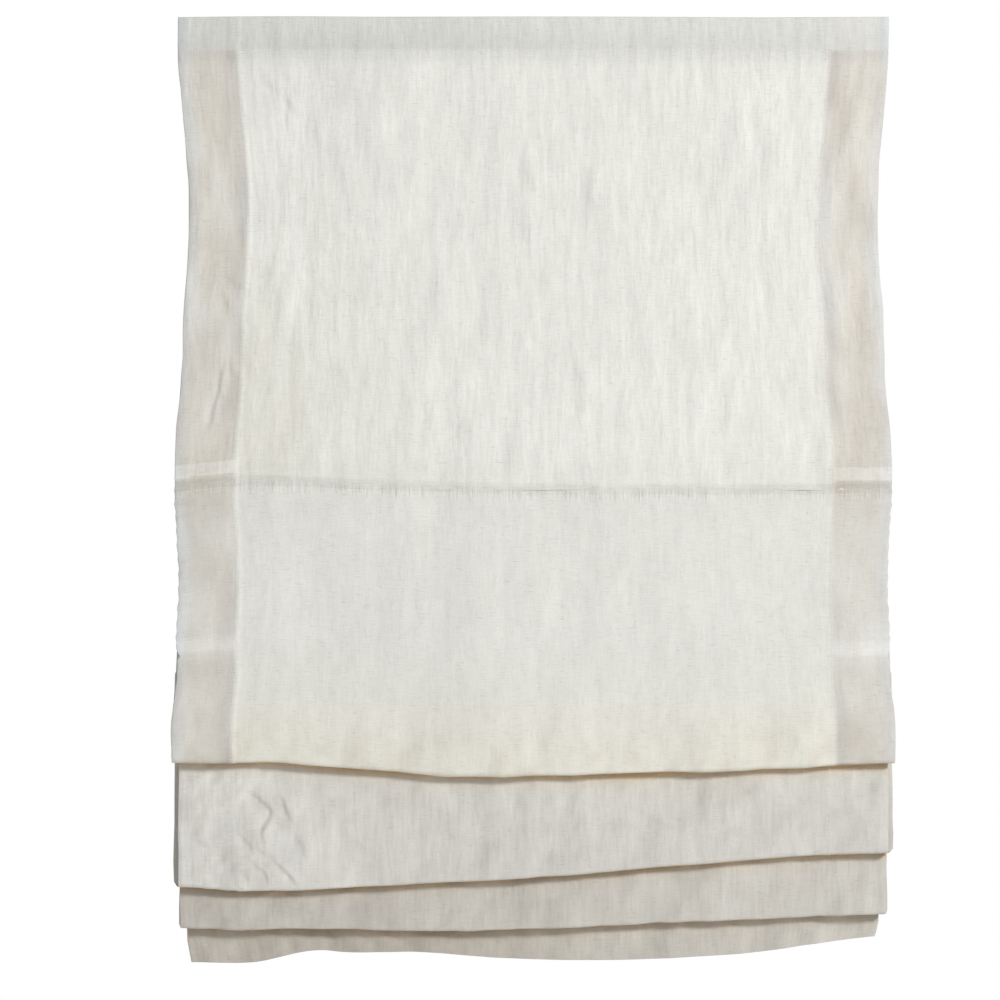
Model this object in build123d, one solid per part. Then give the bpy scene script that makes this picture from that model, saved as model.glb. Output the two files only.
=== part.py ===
from build123d import *
from math import ceil, pi, sqrt
import os

# Roman blind, drawn up part of its drop. Millimetres, +X to the right, +Y to the wall, +Z up.
# Origin: middle of the top fixing plane, between the two bracket screws.

# ---- driving dimensions ----

# cloth
WIDTH = 650.0  # across the cloth, hem to hem
FLAT_DROP = 420.0  # header top to the first rod
FIRST_STEP = 145.0  # first rod to second rod, as drawn up
STACK_STEP = 47.0  # between the lower rods, as drawn up
FOLD_PITCH = 390.0  # cloth between two rods
TAIL_DROP = 205.0  # cloth below the last rod
CLOTH_T = 0.9
HEM_T = 1.7  # cloth and turned-in hem together
SIDE_HEM = 57.0
HEADER_H = 30.5
HEADER_TOP = -1.0  # height of the header's top edge
FOLD_WIDTHS = (11.0, 9.0, 8.0)  # front leg to back leg at each fold's foot
FOLD_FEET = (49.0, 40.0, 28.0)  # how far each fold's foot stands out in front of the shaft
LAYER_GAP = 2.0  # air between two layers that face each other
FOOT_LIFT = 3.0  # a fold's foot, above where a folded-flat length would end
HAIRPIN_GAP = 1.8  # air inside the turn of the cloth under a rod
HAIRPIN_STEM = 2.0  # straight cloth below that turn before the legs part
LEG_BEND_R, SOFT_BEND_R, SLOW_BEND_R = 6.0, 20.0, 60.0
TAIL_REACH = 3.0  # the tail's drift to the window

# support rods, rings and cords
ROD_R = 2.0
ROD_INSET = 5.0  # rod end short of the cloth's edge
POCKET_PLAY = 0.3  # radial room in a rod pocket
RING_R = 5.25
RING_WIRE_R = 0.75
CORD_R = 0.7
CORD_SPREAD = 197.0  # middle cord to outer cord
TACK = (2.4, 2.6, 0.5)  # width and height of a thread tack, thread behind the ring
ADJUSTER_R = 4.0
ADJUSTER_H = 16.0
ADJUSTER_EDGE = 0.8
ADJUSTER_LUG = (1.6, 1.2)
CORD_PLAY = 0.15  # radial, in the adjuster's bore
CORD_END = 5.0  # bore floor below the adjuster's middle

# head rail and tapes
RAIL_D = 34.0
RAIL_H = 28.0
RAIL_T = 1.3
LIP = 6.0
RAIL_EDGE_R = 0.8
CAP_EDGE_R = 2.0
TAPE_T = 1.2
TAPE_H = 25.0
TAPE_INSET = 2.0
CAP_T = 3.0
DRIVE_W = 20.0  # drive unit beyond the rail's end
END_INSET = 5.0  # end cap short of the cloth's edge
DRIVE_INSET = 4.0  # drive unit short of the cloth's edge
PLUG_L = 14.0  # end cap's and housing's plug in the rail
PLUG_WALL = 2.0
WEB_T = 2.0  # end cap's web from bearing to plug

# shaft and spools
SHAFT_A = 5.0  # square
BARREL_R = 7.0
FLANGE_R = 10.0
FLANGE_T = 1.5
JOURNAL_R = 5.0
JOURNAL_L = 4.0
SPARE_TURNS = 11
SAFETY_TURNS = 2
TURN_PITCH = 1.5
RUN_PLAY = 0.05  # radial, between a journal and its bore
SIDE_PLAY = 0.5  # axial, between moving faces
WALL_T = 3.0  # cradle end walls
BASE_T = 1.5
NOZZLE_R = 4.0
NOZZLE_BORE_R = 1.6
FIT = 0.2  # a piece that slides into the rail
FLANGE_ROOM = 0.7  # under a spool's flange
BEARING_WALL = 3.0
CAP_BEARING_WALL = 2.5
SNAP_MOUTH = 1.7  # width of a bearing's mouth, in journal radii
SQUARE_FLOOR = 2.0  # closed end of the bush's square hole
BASE_SPARE = 1.0  # cradle base beyond its walls
NOZZLE_OUT = 1.0  # nozzle below the rail

# chain drive
WHEEL_R = 11.0
WHEEL_W = 9.0
BEADS = 10
BEAD_R = 2.2
HUB_R = 6.0
SPINDLE_R = 4.0
SPINDLE_TIP_R = 3.0
SPRING_T = 1.2
SPRING_ROOM = 0.4
SPRING_SET_BACK = 4.0  # spring recess behind the wheel's inner face
WHEEL_ROOM = 1.0  # radial, in the housing
HUB_SET_BACK = 2.0  # hub's end beyond the housing's plug
SOCKET_L = 12.0  # shaft in the hub
COVER_T = 4.0
COVER_SCREW_R = 1.2
COVER_SCREW_HEAD = (2.4, 1.5)  # radius, height
COVER_SCREW_BITE = 6.0  # thread in the housing
COVER_SCREW_INSET = 3.0
CROSS_SLOT = (3.6, 0.6, 0.7)  # length, width, depth

# fixing brackets
BRACKET_X = 250.0  # screw hole to the middle of the blind
SCREW_HOLE_R = 2.5
PLATE = (44.0, 32.0, 1.5)
PIVOT_OFFSET = 18.0  # screw hole to cam pivot
PIVOT_R = 2.5
CAM = (30.0, 14.0, 2.0)
LEVER = (28.0, 8.0, 1.4)
MOVE_GAP = 0.3  # between faces of two bodies
PLATE_CORNER_R = 3.0
FOOT = (5.0, 4.0)
FOOT_INSET = 5.0
RIVET_HEAD = (4.0, 1.2)  # radius, height
LEVER_HUB_SPARE = 1.0

# ---- places worked out from them ----

LEVER_ROOM = LEVER[2] + 2 * MOVE_GAP
RAIL_TOP = -PLATE[2] - LEVER_ROOM
RAIL_BOTTOM = RAIL_TOP - RAIL_H
RAIL_MID = (RAIL_TOP + RAIL_BOTTOM) / 2
FLOOR_Z = RAIL_BOTTOM + RAIL_T  # inside floor of the rail
INNER_D = RAIL_D - 2 * RAIL_T
AXIS_Z = FLOOR_Z + BASE_T + FLANGE_R + FLANGE_ROOM  # shaft axis
RAIL_X0 = -WIDTH / 2 + END_INSET + CAP_T
RAIL_X1 = WIDTH / 2 - DRIVE_INSET - DRIVE_W

CLOTH_BACK = -RAIL_D / 2 - 2 * TAPE_T
CLOTH_MID = CLOTH_BACK - CLOTH_T / 2
POCKET_BORE = ROD_R + POCKET_PLAY
POCKET_R = POCKET_BORE + CLOTH_T
ROD_Y = CLOTH_BACK + POCKET_BORE
POCKET_REAR = ROD_Y + POCKET_R
CORD_Y = -(BARREL_R + CORD_R)
RING_Y = POCKET_REAR + RING_R + RING_WIRE_R

ROD_DEPTHS = [FLAT_DROP + step for step in (0, FIRST_STEP, FIRST_STEP + STACK_STEP,
                                            FIRST_STEP + 2 * STACK_STEP)]
SIDES = {"left": -CORD_SPREAD, "centre": 0.0, "right": CORD_SPREAD}

LIFT = 3 * FOLD_PITCH - FIRST_STEP - 2 * STACK_STEP  # cord wound in so far
WOUND_TURNS = ceil(LIFT / (2 * pi * -CORD_Y)) + SAFETY_TURNS
WINDING_L = WOUND_TURNS * TURN_PITCH
SPARE_L = SPARE_TURNS * TURN_PITCH
BARREL_L = WINDING_L + SPARE_L
BARREL_SHIFT = WINDING_L - BARREL_L / 2  # barrel's middle from the cord's place


def height(depth):
    """Z of a depth measured down from the header's top edge."""
    return HEADER_TOP - depth


def along_x(sketch, x0, x1):
    """A YZ section drawn out from x0 to x1."""
    return extrude(Plane.YZ.offset(x0) * sketch, amount=x1 - x0)


def rod_x(radius, x0, x1, y=0.0, z=0.0):
    return along_x(Pos(y, z) * Circle(radius), x0, x1)


def upright(radius, x, y, z0, z1):
    return Pos(x, y, z0) * extrude(Circle(radius), amount=z1 - z0)


def block(x0, x1, y0, y1, z0, z1):
    middle = Pos((x0 + x1) / 2, (y0 + y1) / 2, (z0 + z1) / 2)
    return middle * Box(x1 - x0, y1 - y0, z1 - z0)


# ---- cloth ----


def cloth_line():
    """The middle of the cloth's thickness from header to tail, as a filleted line in (y, z)."""
    half_turn = (HAIRPIN_GAP + CLOTH_T) / 2
    in_y = ROD_Y - half_turn  # leg that comes up to a rod
    out_y = ROD_Y + half_turn  # leg that goes down from it
    pass_y = ROD_Y - POCKET_R - POCKET_PLAY - HEM_T / 2  # leg hanging in front of the next pocket
    near_y = pass_y - HEM_T - LAYER_GAP  # the fold before, in front of that leg
    far_y = near_y - HEM_T - LAYER_GAP
    turn_top = POCKET_BORE + CLOTH_T / 2  # rod centre down to the turn of the cloth
    turn_foot = turn_top + 2 * half_turn + HAIRPIN_STEM
    points = [(CLOTH_MID, 0.0), (CLOTH_MID, ROD_DEPTHS[0] + 2 * POCKET_R)]
    radii = [SLOW_BEND_R]
    for number, (reach, width) in enumerate(zip(FOLD_FEET, FOLD_WIDTHS)):
        above, below = ROD_DEPTHS[number], ROD_DEPTHS[number + 1]
        foot = (above + below + FOLD_PITCH) / 2 - FOOT_LIFT
        if number > 0:
            points.append((pass_y, above + STACK_STEP - 2 * POCKET_R))
            radii.append(SOFT_BEND_R)
        if number == 1:
            points.append((far_y, above + 2 * STACK_STEP - 4 * POCKET_R))
            radii.append(SLOW_BEND_R)
        points += [(-reach, foot), (width - reach, foot)]
        radii += [width / 2 - 0.6] * 2
        if number < 2:
            points.append((near_y, below + 0.75 * STACK_STEP))
            radii.append(SOFT_BEND_R)
        points += [(in_y, below + turn_foot), (in_y, below + turn_top)]
        points += [(out_y, below + turn_top), (out_y, below + turn_foot)]
        radii += [LEG_BEND_R, half_turn - 0.1, half_turn - 0.1, LEG_BEND_R]
    points.append((out_y + TAIL_REACH, ROD_DEPTHS[3] + TAIL_DROP))
    return FilletPolyline(*[(y, height(depth)) for y, depth in points], radius=radii)


def cloth_panel():
    """One piece: plain panel, thicker turned-in side hems, and four stitched rod pockets."""
    line = cloth_line()
    centres = [Pos(ROD_Y, height(depth)) for depth in ROD_DEPTHS]
    loops = [spot * Circle(POCKET_R) for spot in centres]
    bores = [spot * Circle(POCKET_BORE) for spot in centres]
    plain = trace(line, CLOTH_T) + loops - bores
    hem = trace(line, HEM_T) + loops - bores
    edge = WIDTH / 2
    panel = along_x(plain, -edge + SIDE_HEM, edge - SIDE_HEM)
    panel += along_x(hem, -edge, -edge + SIDE_HEM) + along_x(hem, edge - SIDE_HEM, edge)
    tape_bed = block(-edge - 1, edge + 1, CLOTH_BACK, CLOTH_BACK + HEM_T,
                     height(HEADER_H), HEADER_TOP + 1)
    return panel - tape_bed


def tape(back_face, x0, x1):
    return block(x0, x1, back_face - TAPE_T, back_face,
                 RAIL_MID - TAPE_H / 2, RAIL_MID + TAPE_H / 2)


# ---- rods, rings, cords ----


def support_rod(depth):
    """A round rod lying on the floor of its pocket."""
    end = WIDTH / 2 - ROD_INSET
    return rod_x(ROD_R, -end, end, ROD_Y, height(depth) - POCKET_PLAY)


def cord_ring(x, depth):
    return Pos(x, RING_Y, height(depth)) * Torus(RING_R, RING_WIRE_R)


def cord_adjuster(x):
    """Moulded pod sewn to the last pocket; the cord ends in its bore."""
    z = height(ROD_DEPTHS[3])
    body = upright(ADJUSTER_R, x, CORD_Y, z - ADJUSTER_H / 2, z + ADJUSTER_H / 2)
    body = chamfer(body.edges().filter_by(GeomType.CIRCLE), ADJUSTER_EDGE)
    lug_w, lug_h = ADJUSTER_LUG
    lug = block(x - lug_w / 2, x + lug_w / 2, POCKET_REAR, CORD_Y, z - lug_h / 2, z + lug_h / 2)
    return body + lug - upright(CORD_R + CORD_PLAY, x, CORD_Y, z - CORD_END, z + ADJUSTER_H)


def lift_cord(x):
    """From the spool, down through nozzle and rings, to the floor of the adjuster's bore."""
    clear = BARREL_R + 2 * CORD_R + MOVE_GAP + CORD_PLAY
    leave = sqrt(clear**2 - BARREL_R**2)
    return upright(CORD_R, x, CORD_Y, height(ROD_DEPTHS[3]) - CORD_END, AXIS_Z - leave)


def tack(x, depth, holds):
    """A knot of thread that ties a ring or adjuster to its pocket."""
    width, tall, behind = TACK
    z = height(depth)
    rear = POCKET_REAR + 2 * RING_WIRE_R + behind
    knot = block(x - width / 2, x + width / 2, POCKET_REAR, rear, z - tall / 2, z + tall / 2)
    return knot - holds


# ---- head rail ----


def channel(room=0.0):
    """Section inside the rail, less some room all round."""
    inner_h = RAIL_H - 2 * RAIL_T - 2 * room
    return Pos(0, RAIL_MID) * Rectangle(INNER_D - 2 * room, inner_h)


def head_rail():
    """Extruded channel, open at the top between two lips, with a hole for each cord nozzle."""
    mouth = Pos(0, RAIL_TOP) * Rectangle(RAIL_D - 2 * LIP, 3 * RAIL_T)
    outer = Pos(0, RAIL_MID) * Rectangle(RAIL_D, RAIL_H)
    outer = fillet(outer.vertices(), RAIL_EDGE_R)
    rail = along_x(outer - channel() - mouth, RAIL_X0, RAIL_X1)
    for x in SIDES.values():
        rail -= upright(NOZZLE_R + FIT, x, CORD_Y, RAIL_BOTTOM - 1, FLOOR_Z + 1)
    return rail


def end_section():
    """Outline of the moulded pieces at the rail's ends."""
    outer = Pos(0, RAIL_MID) * Rectangle(RAIL_D, RAIL_H)
    return fillet(outer.vertices(), CAP_EDGE_R)


def plug_section():
    return channel(FIT) - channel(FIT + PLUG_WALL)


def rail_end_cap():
    """Moulded cap with a plug in the rail and a bearing for the shaft's bush."""
    cap = along_x(end_section(), RAIL_X0 - CAP_T, RAIL_X0)
    cap += along_x(plug_section(), RAIL_X0, RAIL_X0 + PLUG_L)
    cap += rod_x(JOURNAL_R + CAP_BEARING_WALL, RAIL_X0, RAIL_X0 + PLUG_L, 0, AXIS_Z)
    inner, outer = JOURNAL_R + CAP_BEARING_WALL / 2, INNER_D / 2 - FIT - PLUG_WALL / 2
    for y0, y1 in ((-outer, -inner), (inner, outer)):
        cap += block(RAIL_X0, RAIL_X0 + PLUG_L, y0, y1, AXIS_Z - WEB_T / 2, AXIS_Z + WEB_T / 2)
    return cap - rod_x(JOURNAL_R + RUN_PLAY, RAIL_X0, RAIL_X0 + PLUG_L + 1, 0, AXIS_Z)


# ---- shaft, spools and cradles ----


def square():
    return Pos(0, AXIS_Z) * Rectangle(SHAFT_A, SHAFT_A)


BUSH_X0 = RAIL_X0 + SIDE_PLAY
BUSH_X1 = RAIL_X0 + PLUG_L + 3.0
HOUSING_X1 = RAIL_X1 + DRIVE_W - COVER_T
WHEEL_X1 = HOUSING_X1 - SIDE_PLAY
WHEEL_X0 = WHEEL_X1 - WHEEL_W
HUB_X0 = RAIL_X1 - PLUG_L - HUB_SET_BACK


def drive_shaft():
    return along_x(square(), BUSH_X0 + SQUARE_FLOOR, HUB_X0 + SOCKET_L)


def shaft_bush():
    """Round bush on the shaft's left end."""
    bush = rod_x(JOURNAL_R, BUSH_X0, BUSH_X1, 0, AXIS_Z)
    return bush - along_x(square(), BUSH_X0 + SQUARE_FLOOR, BUSH_X1 + 1)


def spool_ends(x):
    middle = x + BARREL_SHIFT
    return middle - BARREL_L / 2, middle + BARREL_L / 2


def cord_spool(x):
    """Barrel between two flanges, with a journal at each end and a square bore."""
    x0, x1 = spool_ends(x)
    spool = rod_x(BARREL_R, x0, x1, 0, AXIS_Z)
    for face, away in ((x0, -1), (x1, 1)):
        rim, tip = face + away * FLANGE_T, face + away * (FLANGE_T + JOURNAL_L)
        spool += rod_x(FLANGE_R, min(face, rim), max(face, rim), 0, AXIS_Z)
        spool += rod_x(JOURNAL_R, min(face, tip), max(face, tip), 0, AXIS_Z)
    reach = FLANGE_T + JOURNAL_L + 1
    return spool - along_x(square(), x0 - reach, x1 + reach)


def cord_winding(x):
    """The turns already on the barrel, as one sleeve that starts where the cord leaves."""
    x1 = spool_ends(x)[1]
    sleeve = Circle(BARREL_R + 2 * CORD_R) - Circle(BARREL_R)
    return along_x(Pos(0, AXIS_Z) * sleeve, x1 - WINDING_L, x1)


def spool_cradle(x):
    """Carrier that clips into the rail: two bearing walls on a base, and the cord's nozzle."""
    x0, x1 = spool_ends(x)
    inner = FLANGE_T + SIDE_PLAY
    outer = inner + WALL_T
    wide = INNER_D / 2 - FIT
    base_x0, base_x1 = x0 - outer - BASE_SPARE, x1 + outer + BASE_SPARE
    cradle = block(base_x0, base_x1, -wide, wide, FLOOR_Z, FLOOR_Z + BASE_T)
    bearing_r = JOURNAL_R + BEARING_WALL
    wall = Pos(0, (FLOOR_Z + AXIS_Z) / 2) * Rectangle(2 * bearing_r, AXIS_Z - FLOOR_Z)
    wall += Pos(0, AXIS_Z) * Circle(bearing_r)
    wall -= Pos(0, AXIS_Z) * Circle(JOURNAL_R + RUN_PLAY)
    wall -= Pos(0, AXIS_Z + FLANGE_R) * Rectangle(SNAP_MOUTH * JOURNAL_R, 2 * FLANGE_R)
    cradle += along_x(wall, x0 - outer, x0 - inner) + along_x(wall, x1 + inner, x1 + outer)
    nozzle_z = RAIL_BOTTOM - NOZZLE_OUT
    cradle += upright(NOZZLE_R, x, CORD_Y, nozzle_z, FLOOR_Z + BASE_T)
    return cradle - upright(NOZZLE_BORE_R, x, CORD_Y, nozzle_z - 1, FLOOR_Z + BASE_T + 1)


# ---- chain drive ----

CAVITY_R = WHEEL_R + WHEEL_ROOM
SPRING_X0 = WHEEL_X0 + SPRING_SET_BACK
COVER_SCREWS = [(side * (RAIL_D / 2 - COVER_SCREW_INSET), RAIL_TOP - COVER_SCREW_INSET)
                for side in (-1, 1)]
COVER_FACE = HOUSING_X1 + COVER_T


def chain_wheel():
    """Bead wheel with a hub that drives the shaft and a recess for the brake spring."""
    wheel = rod_x(WHEEL_R, WHEEL_X0, WHEEL_X1, 0, AXIS_Z)
    wheel += rod_x(HUB_R, HUB_X0, WHEEL_X0, 0, AXIS_Z)
    wheel -= along_x(square(), HUB_X0 - 1, HUB_X0 + SOCKET_L)
    wheel -= rod_x(SPINDLE_TIP_R + RUN_PLAY, WHEEL_X0, WHEEL_X1 + 1, 0, AXIS_Z)
    recess_r = SPINDLE_R + SPRING_T + SPRING_ROOM
    wheel -= rod_x(recess_r, SPRING_X0 - SPRING_ROOM, WHEEL_X1 + 1, 0, AXIS_Z)
    middle = Pos((WHEEL_X0 + WHEEL_X1) / 2, 0, AXIS_Z)
    for number in range(BEADS):
        wheel -= middle * Rot(number * 360 / BEADS, 0, 0) * Pos(0, WHEEL_R, 0) * Sphere(BEAD_R)
    return wheel


def chain_slots():
    """The two ways by which an operating chain reaches the wheel."""
    inner = CAVITY_R - 2 * BEAD_R - WHEEL_ROOM
    low = RAIL_BOTTOM - 1
    return [block(WHEEL_X0, WHEEL_X1, min(a, b), max(a, b), low, AXIS_Z)
            for a, b in ((-CAVITY_R, -inner), (inner, CAVITY_R))]


def drive_housing():
    """Cup for the wheel, with a plug in the rail and two chain slots in its floor."""
    cup = along_x(end_section(), RAIL_X1, HOUSING_X1)
    cup += along_x(plug_section(), RAIL_X1 - PLUG_L, RAIL_X1)
    cup -= rod_x(CAVITY_R, WHEEL_X0 - SIDE_PLAY, HOUSING_X1 + 1, 0, AXIS_Z)
    cup -= rod_x(HUB_R + RUN_PLAY, RAIL_X1 - 1, HOUSING_X1, 0, AXIS_Z)
    for slot in chain_slots():
        cup -= slot
    for y, z in COVER_SCREWS:
        cup -= rod_x(COVER_SCREW_R, HOUSING_X1 - COVER_SCREW_BITE, HOUSING_X1 + 1, y, z)
    return cup


def drive_cover():
    """End plate with the fixed spindle that the wheel turns on."""
    cover = along_x(end_section(), HOUSING_X1, COVER_FACE)
    cover += rod_x(SPINDLE_R, SPRING_X0, HOUSING_X1, 0, AXIS_Z)
    cover += rod_x(SPINDLE_TIP_R, WHEEL_X0 + SIDE_PLAY, SPRING_X0, 0, AXIS_Z)
    head_r, head_h = COVER_SCREW_HEAD
    for y, z in COVER_SCREWS:
        cover -= rod_x(COVER_SCREW_R, HOUSING_X1 - 1, COVER_FACE, y, z)
        cover -= rod_x(head_r, COVER_FACE - head_h, COVER_FACE + 1, y, z)
    return cover


def cover_screws():
    """Two cross-head screws, flush with the cover."""
    head_r, head_h = COVER_SCREW_HEAD
    slot_l, slot_w, slot_d = CROSS_SLOT
    screws = []
    for y, z in COVER_SCREWS:
        screw = rod_x(COVER_SCREW_R, HOUSING_X1 - COVER_SCREW_BITE, COVER_FACE, y, z)
        screw += rod_x(head_r, COVER_FACE - head_h, COVER_FACE, y, z)
        for size in ((2 * slot_d, slot_l, slot_w), (2 * slot_d, slot_w, slot_l)):
            screw -= Pos(COVER_FACE, y, z) * Box(*size)
        screws.append(screw)
    return Compound(children=screws)


def brake_spring():
    """Close-wound wrap spring that grips the fixed spindle."""
    coil = Circle(SPINDLE_R + SPRING_T) - Circle(SPINDLE_R)
    return along_x(Pos(0, AXIS_Z) * coil, SPRING_X0 + SPRING_ROOM / 2, WHEEL_X1 - SIDE_PLAY)


# ---- fixing brackets ----


def bracket_plate(x):
    """Pressed plate screwed to the ceiling; three feet stand on the rail's lips."""
    long, deep, thick = PLATE
    x0 = x + PIVOT_OFFSET / 2 - long / 2
    lip_y = RAIL_D / 2 - LIP / 2
    plate = Pos(x0 + long / 2, 0, -thick / 2) * Box(long, deep, thick)
    plate = fillet(plate.edges().filter_by(Axis.Z), PLATE_CORNER_R)
    near, far = x0 + FOOT_INSET, x0 + long - FOOT_INSET
    feet = ((near, -lip_y), (far, -lip_y), (near, lip_y))
    for foot_x, foot_y in feet:
        plate += Pos(foot_x, foot_y, (RAIL_TOP - thick) / 2) * Box(*FOOT, -RAIL_TOP - thick)
    plate -= upright(SCREW_HOLE_R, x, 0, -thick - 1, 1)
    return plate - upright(PIVOT_R, x + PIVOT_OFFSET, 0, -thick - 1, 1)


CAM_TOP = RAIL_TOP - RAIL_T - MOVE_GAP


def cam_pivot(x):
    """Rivet that the cam swings on."""
    px = x + PIVOT_OFFSET
    head_r, head_h = RIVET_HEAD
    head_top = CAM_TOP - CAM[2] - MOVE_GAP
    pin = upright(PIVOT_R, px, 0, head_top - head_h, 0)
    return pin + upright(head_r, px, 0, head_top - head_h, head_top)


def bracket_cam(x):
    """Oval cam under the rail's lips and a finger lever above them, on one hub."""
    px = x + PIVOT_OFFSET
    long, wide, thick = CAM
    reach, lever_w, lever_t = LEVER
    oval = Rot(0, 0, 90) * SlotOverall(long, wide)
    cam = Pos(px, 0, CAM_TOP - thick) * extrude(oval, amount=thick)
    lever_top = -PLATE[2] - MOVE_GAP
    cam += upright(lever_w / 2 + LEVER_HUB_SPARE, px, 0, CAM_TOP - thick, lever_top)
    arm = Pos(px, reach / 2 - lever_w / 4) * Rot(0, 0, 90) * SlotOverall(reach, lever_w)
    cam += Pos(0, 0, lever_top - lever_t) * extrude(arm, amount=lever_t)
    return cam - upright(PIVOT_R + RUN_PLAY, px, 0, CAM_TOP - thick - 1, 0)


# ---- all nodes ----


def build():
    nodes = {"cloth_panel": cloth_panel(), "head_rail": head_rail()}
    nodes["hook_tape"] = tape(-RAIL_D / 2, RAIL_X0 + TAPE_INSET, RAIL_X1 - TAPE_INSET)
    edge = WIDTH / 2 - TAPE_INSET
    nodes["loop_tape"] = tape(-RAIL_D / 2 - TAPE_T, -edge, edge)
    nodes["rail_end_cap"] = rail_end_cap()
    nodes["drive_shaft"] = drive_shaft()
    nodes["shaft_bush"] = shaft_bush()
    tacks = []
    for number, depth in enumerate(ROD_DEPTHS, start=1):
        nodes[f"support_rod_{number}"] = support_rod(depth)
    for side, x in SIDES.items():
        nodes[f"spool_cradle_{side}"] = spool_cradle(x)
        nodes[f"cord_spool_{side}"] = cord_spool(x)
        nodes[f"cord_winding_{side}"] = cord_winding(x)
        nodes[f"lift_cord_{side}"] = lift_cord(x)
        for number, depth in enumerate(ROD_DEPTHS[:3], start=1):
            ring = cord_ring(x, depth)
            nodes[f"cord_ring_{side}_{number}"] = ring
            tacks.append(tack(x, depth, ring))
        nodes[f"cord_adjuster_{side}"] = cord_adjuster(x)
        tacks.append(tack(x, ROD_DEPTHS[3], nodes[f"cord_adjuster_{side}"]))
    nodes["ring_tacks"] = Compound(children=tacks)
    nodes["chain_wheel"] = chain_wheel()
    nodes["brake_spring"] = brake_spring()
    nodes["drive_housing"] = drive_housing()
    nodes["drive_cover"] = drive_cover()
    nodes["cover_screws"] = cover_screws()
    for side, x in (("left", -BRACKET_X), ("right", BRACKET_X)):
        nodes[f"bracket_plate_{side}"] = bracket_plate(x)
        nodes[f"cam_pivot_{side}"] = cam_pivot(x)
        nodes[f"bracket_cam_{side}"] = bracket_cam(x)
    return nodes


os.makedirs("parts", exist_ok=True)
for name, shape in build().items():
    export_step(shape, f"parts/{name}.step")
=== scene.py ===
import math

import bmesh
import bpy
import numpy as np
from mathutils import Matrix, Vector


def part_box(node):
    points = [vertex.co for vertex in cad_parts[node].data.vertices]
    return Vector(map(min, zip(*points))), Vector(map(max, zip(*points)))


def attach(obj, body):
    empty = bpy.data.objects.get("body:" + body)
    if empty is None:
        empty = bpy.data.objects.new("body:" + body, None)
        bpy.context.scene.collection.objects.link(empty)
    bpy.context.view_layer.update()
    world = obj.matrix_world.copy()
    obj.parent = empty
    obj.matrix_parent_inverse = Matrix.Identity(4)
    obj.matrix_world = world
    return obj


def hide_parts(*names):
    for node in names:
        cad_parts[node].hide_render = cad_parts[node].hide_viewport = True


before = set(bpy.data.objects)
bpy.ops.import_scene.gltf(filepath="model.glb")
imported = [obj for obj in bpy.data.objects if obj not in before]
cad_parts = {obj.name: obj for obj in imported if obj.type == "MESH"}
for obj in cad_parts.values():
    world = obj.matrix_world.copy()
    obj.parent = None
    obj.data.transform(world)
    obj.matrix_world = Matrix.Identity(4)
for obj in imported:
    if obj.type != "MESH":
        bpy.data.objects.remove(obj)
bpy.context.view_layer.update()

# --------------------------------------------
# The studio: a round pale floor below the hanging blind, white all round, a
# soft lamp from the front right, a fill, and a lamp on the window's side.

cloth_low, cloth_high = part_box("cloth_panel")
LEFT, RIGHT, TOP = cloth_low[0], cloth_high[0], cloth_high[2]
WIDTH = RIGHT - LEFT

VIEW_WIDTH = 0.915
VIEW_CENTRE = Vector((LEFT + 0.2946, 0.0, TOP - 0.442))
VIEW_DISTANCE = 4.2


def placed(name, data):
    """A new thing of this shape in the scene."""
    thing = bpy.data.objects.new(name, data)
    bpy.context.collection.objects.link(thing)
    return thing


camera = placed("camera", bpy.data.cameras.new("camera"))
camera.data.sensor_width = 36.0
camera.data.lens = 36.0 * VIEW_DISTANCE / VIEW_WIDTH
camera.location = VIEW_CENTRE + Vector((0.0, cloth_low[1] + 0.02 - VIEW_DISTANCE, 0.0))
camera.rotation_euler = (math.radians(90.0), 0.0, 0.0)
bpy.context.scene.camera = camera
bpy.context.scene.view_settings.view_transform = "Standard"


def soft_lamp(name, place, aim, size, power, tint):
    """A square lamp turned to its aim, and out of the camera's sight."""
    lamp = placed(name, bpy.data.lights.new(name, "AREA"))
    lamp.data.shape = "RECTANGLE"
    lamp.data.size, lamp.data.size_y = size
    lamp.data.energy = power
    lamp.data.color = tint
    lamp.location = place
    lamp.rotation_euler = (Vector(aim) - Vector(place)).to_track_quat("-Z", "Y").to_euler()
    lamp.visible_camera = False


soft_lamp("front_lamp", (3.0, -3.5, 1.5), (0.0, 0.0, -0.45), (0.9, 0.9), 209.0, (1.0, 0.99, 0.97))
soft_lamp("fill_lamp", (-1.7, -2.5, -0.2), (0.0, 0.0, -0.5), (1.6, 1.6), 11.5, (0.97, 0.985, 1.0))
soft_lamp("window_lamp", (-1.5, 2.3, 0.9), (0.0, 0.0, -0.4), (1.2, 1.2), 62.0, (1.0, 1.0, 1.0))

world = bpy.data.worlds.new("studio")
bpy.context.scene.world = world
world.use_nodes = True
air = world.node_tree.nodes
room_light, seen_white = air["Background"], air.new("ShaderNodeBackground")
room_light.inputs["Color"].default_value = (0.98, 0.99, 1.0, 1.0)
room_light.inputs["Strength"].default_value = 0.125
seen_white.inputs["Color"].default_value = (1.0, 1.0, 1.0, 1.0)
ray, either = air.new("ShaderNodeLightPath"), air.new("ShaderNodeMixShader")
for source, socket in ((ray.outputs["Is Camera Ray"], either.inputs["Fac"]),
                       (room_light.outputs[0], either.inputs[1]), (seen_white.outputs[0], either.inputs[2]),
                       (either.outputs[0], air["World Output"].inputs["Surface"])):
    world.node_tree.links.new(source, socket)


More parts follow.
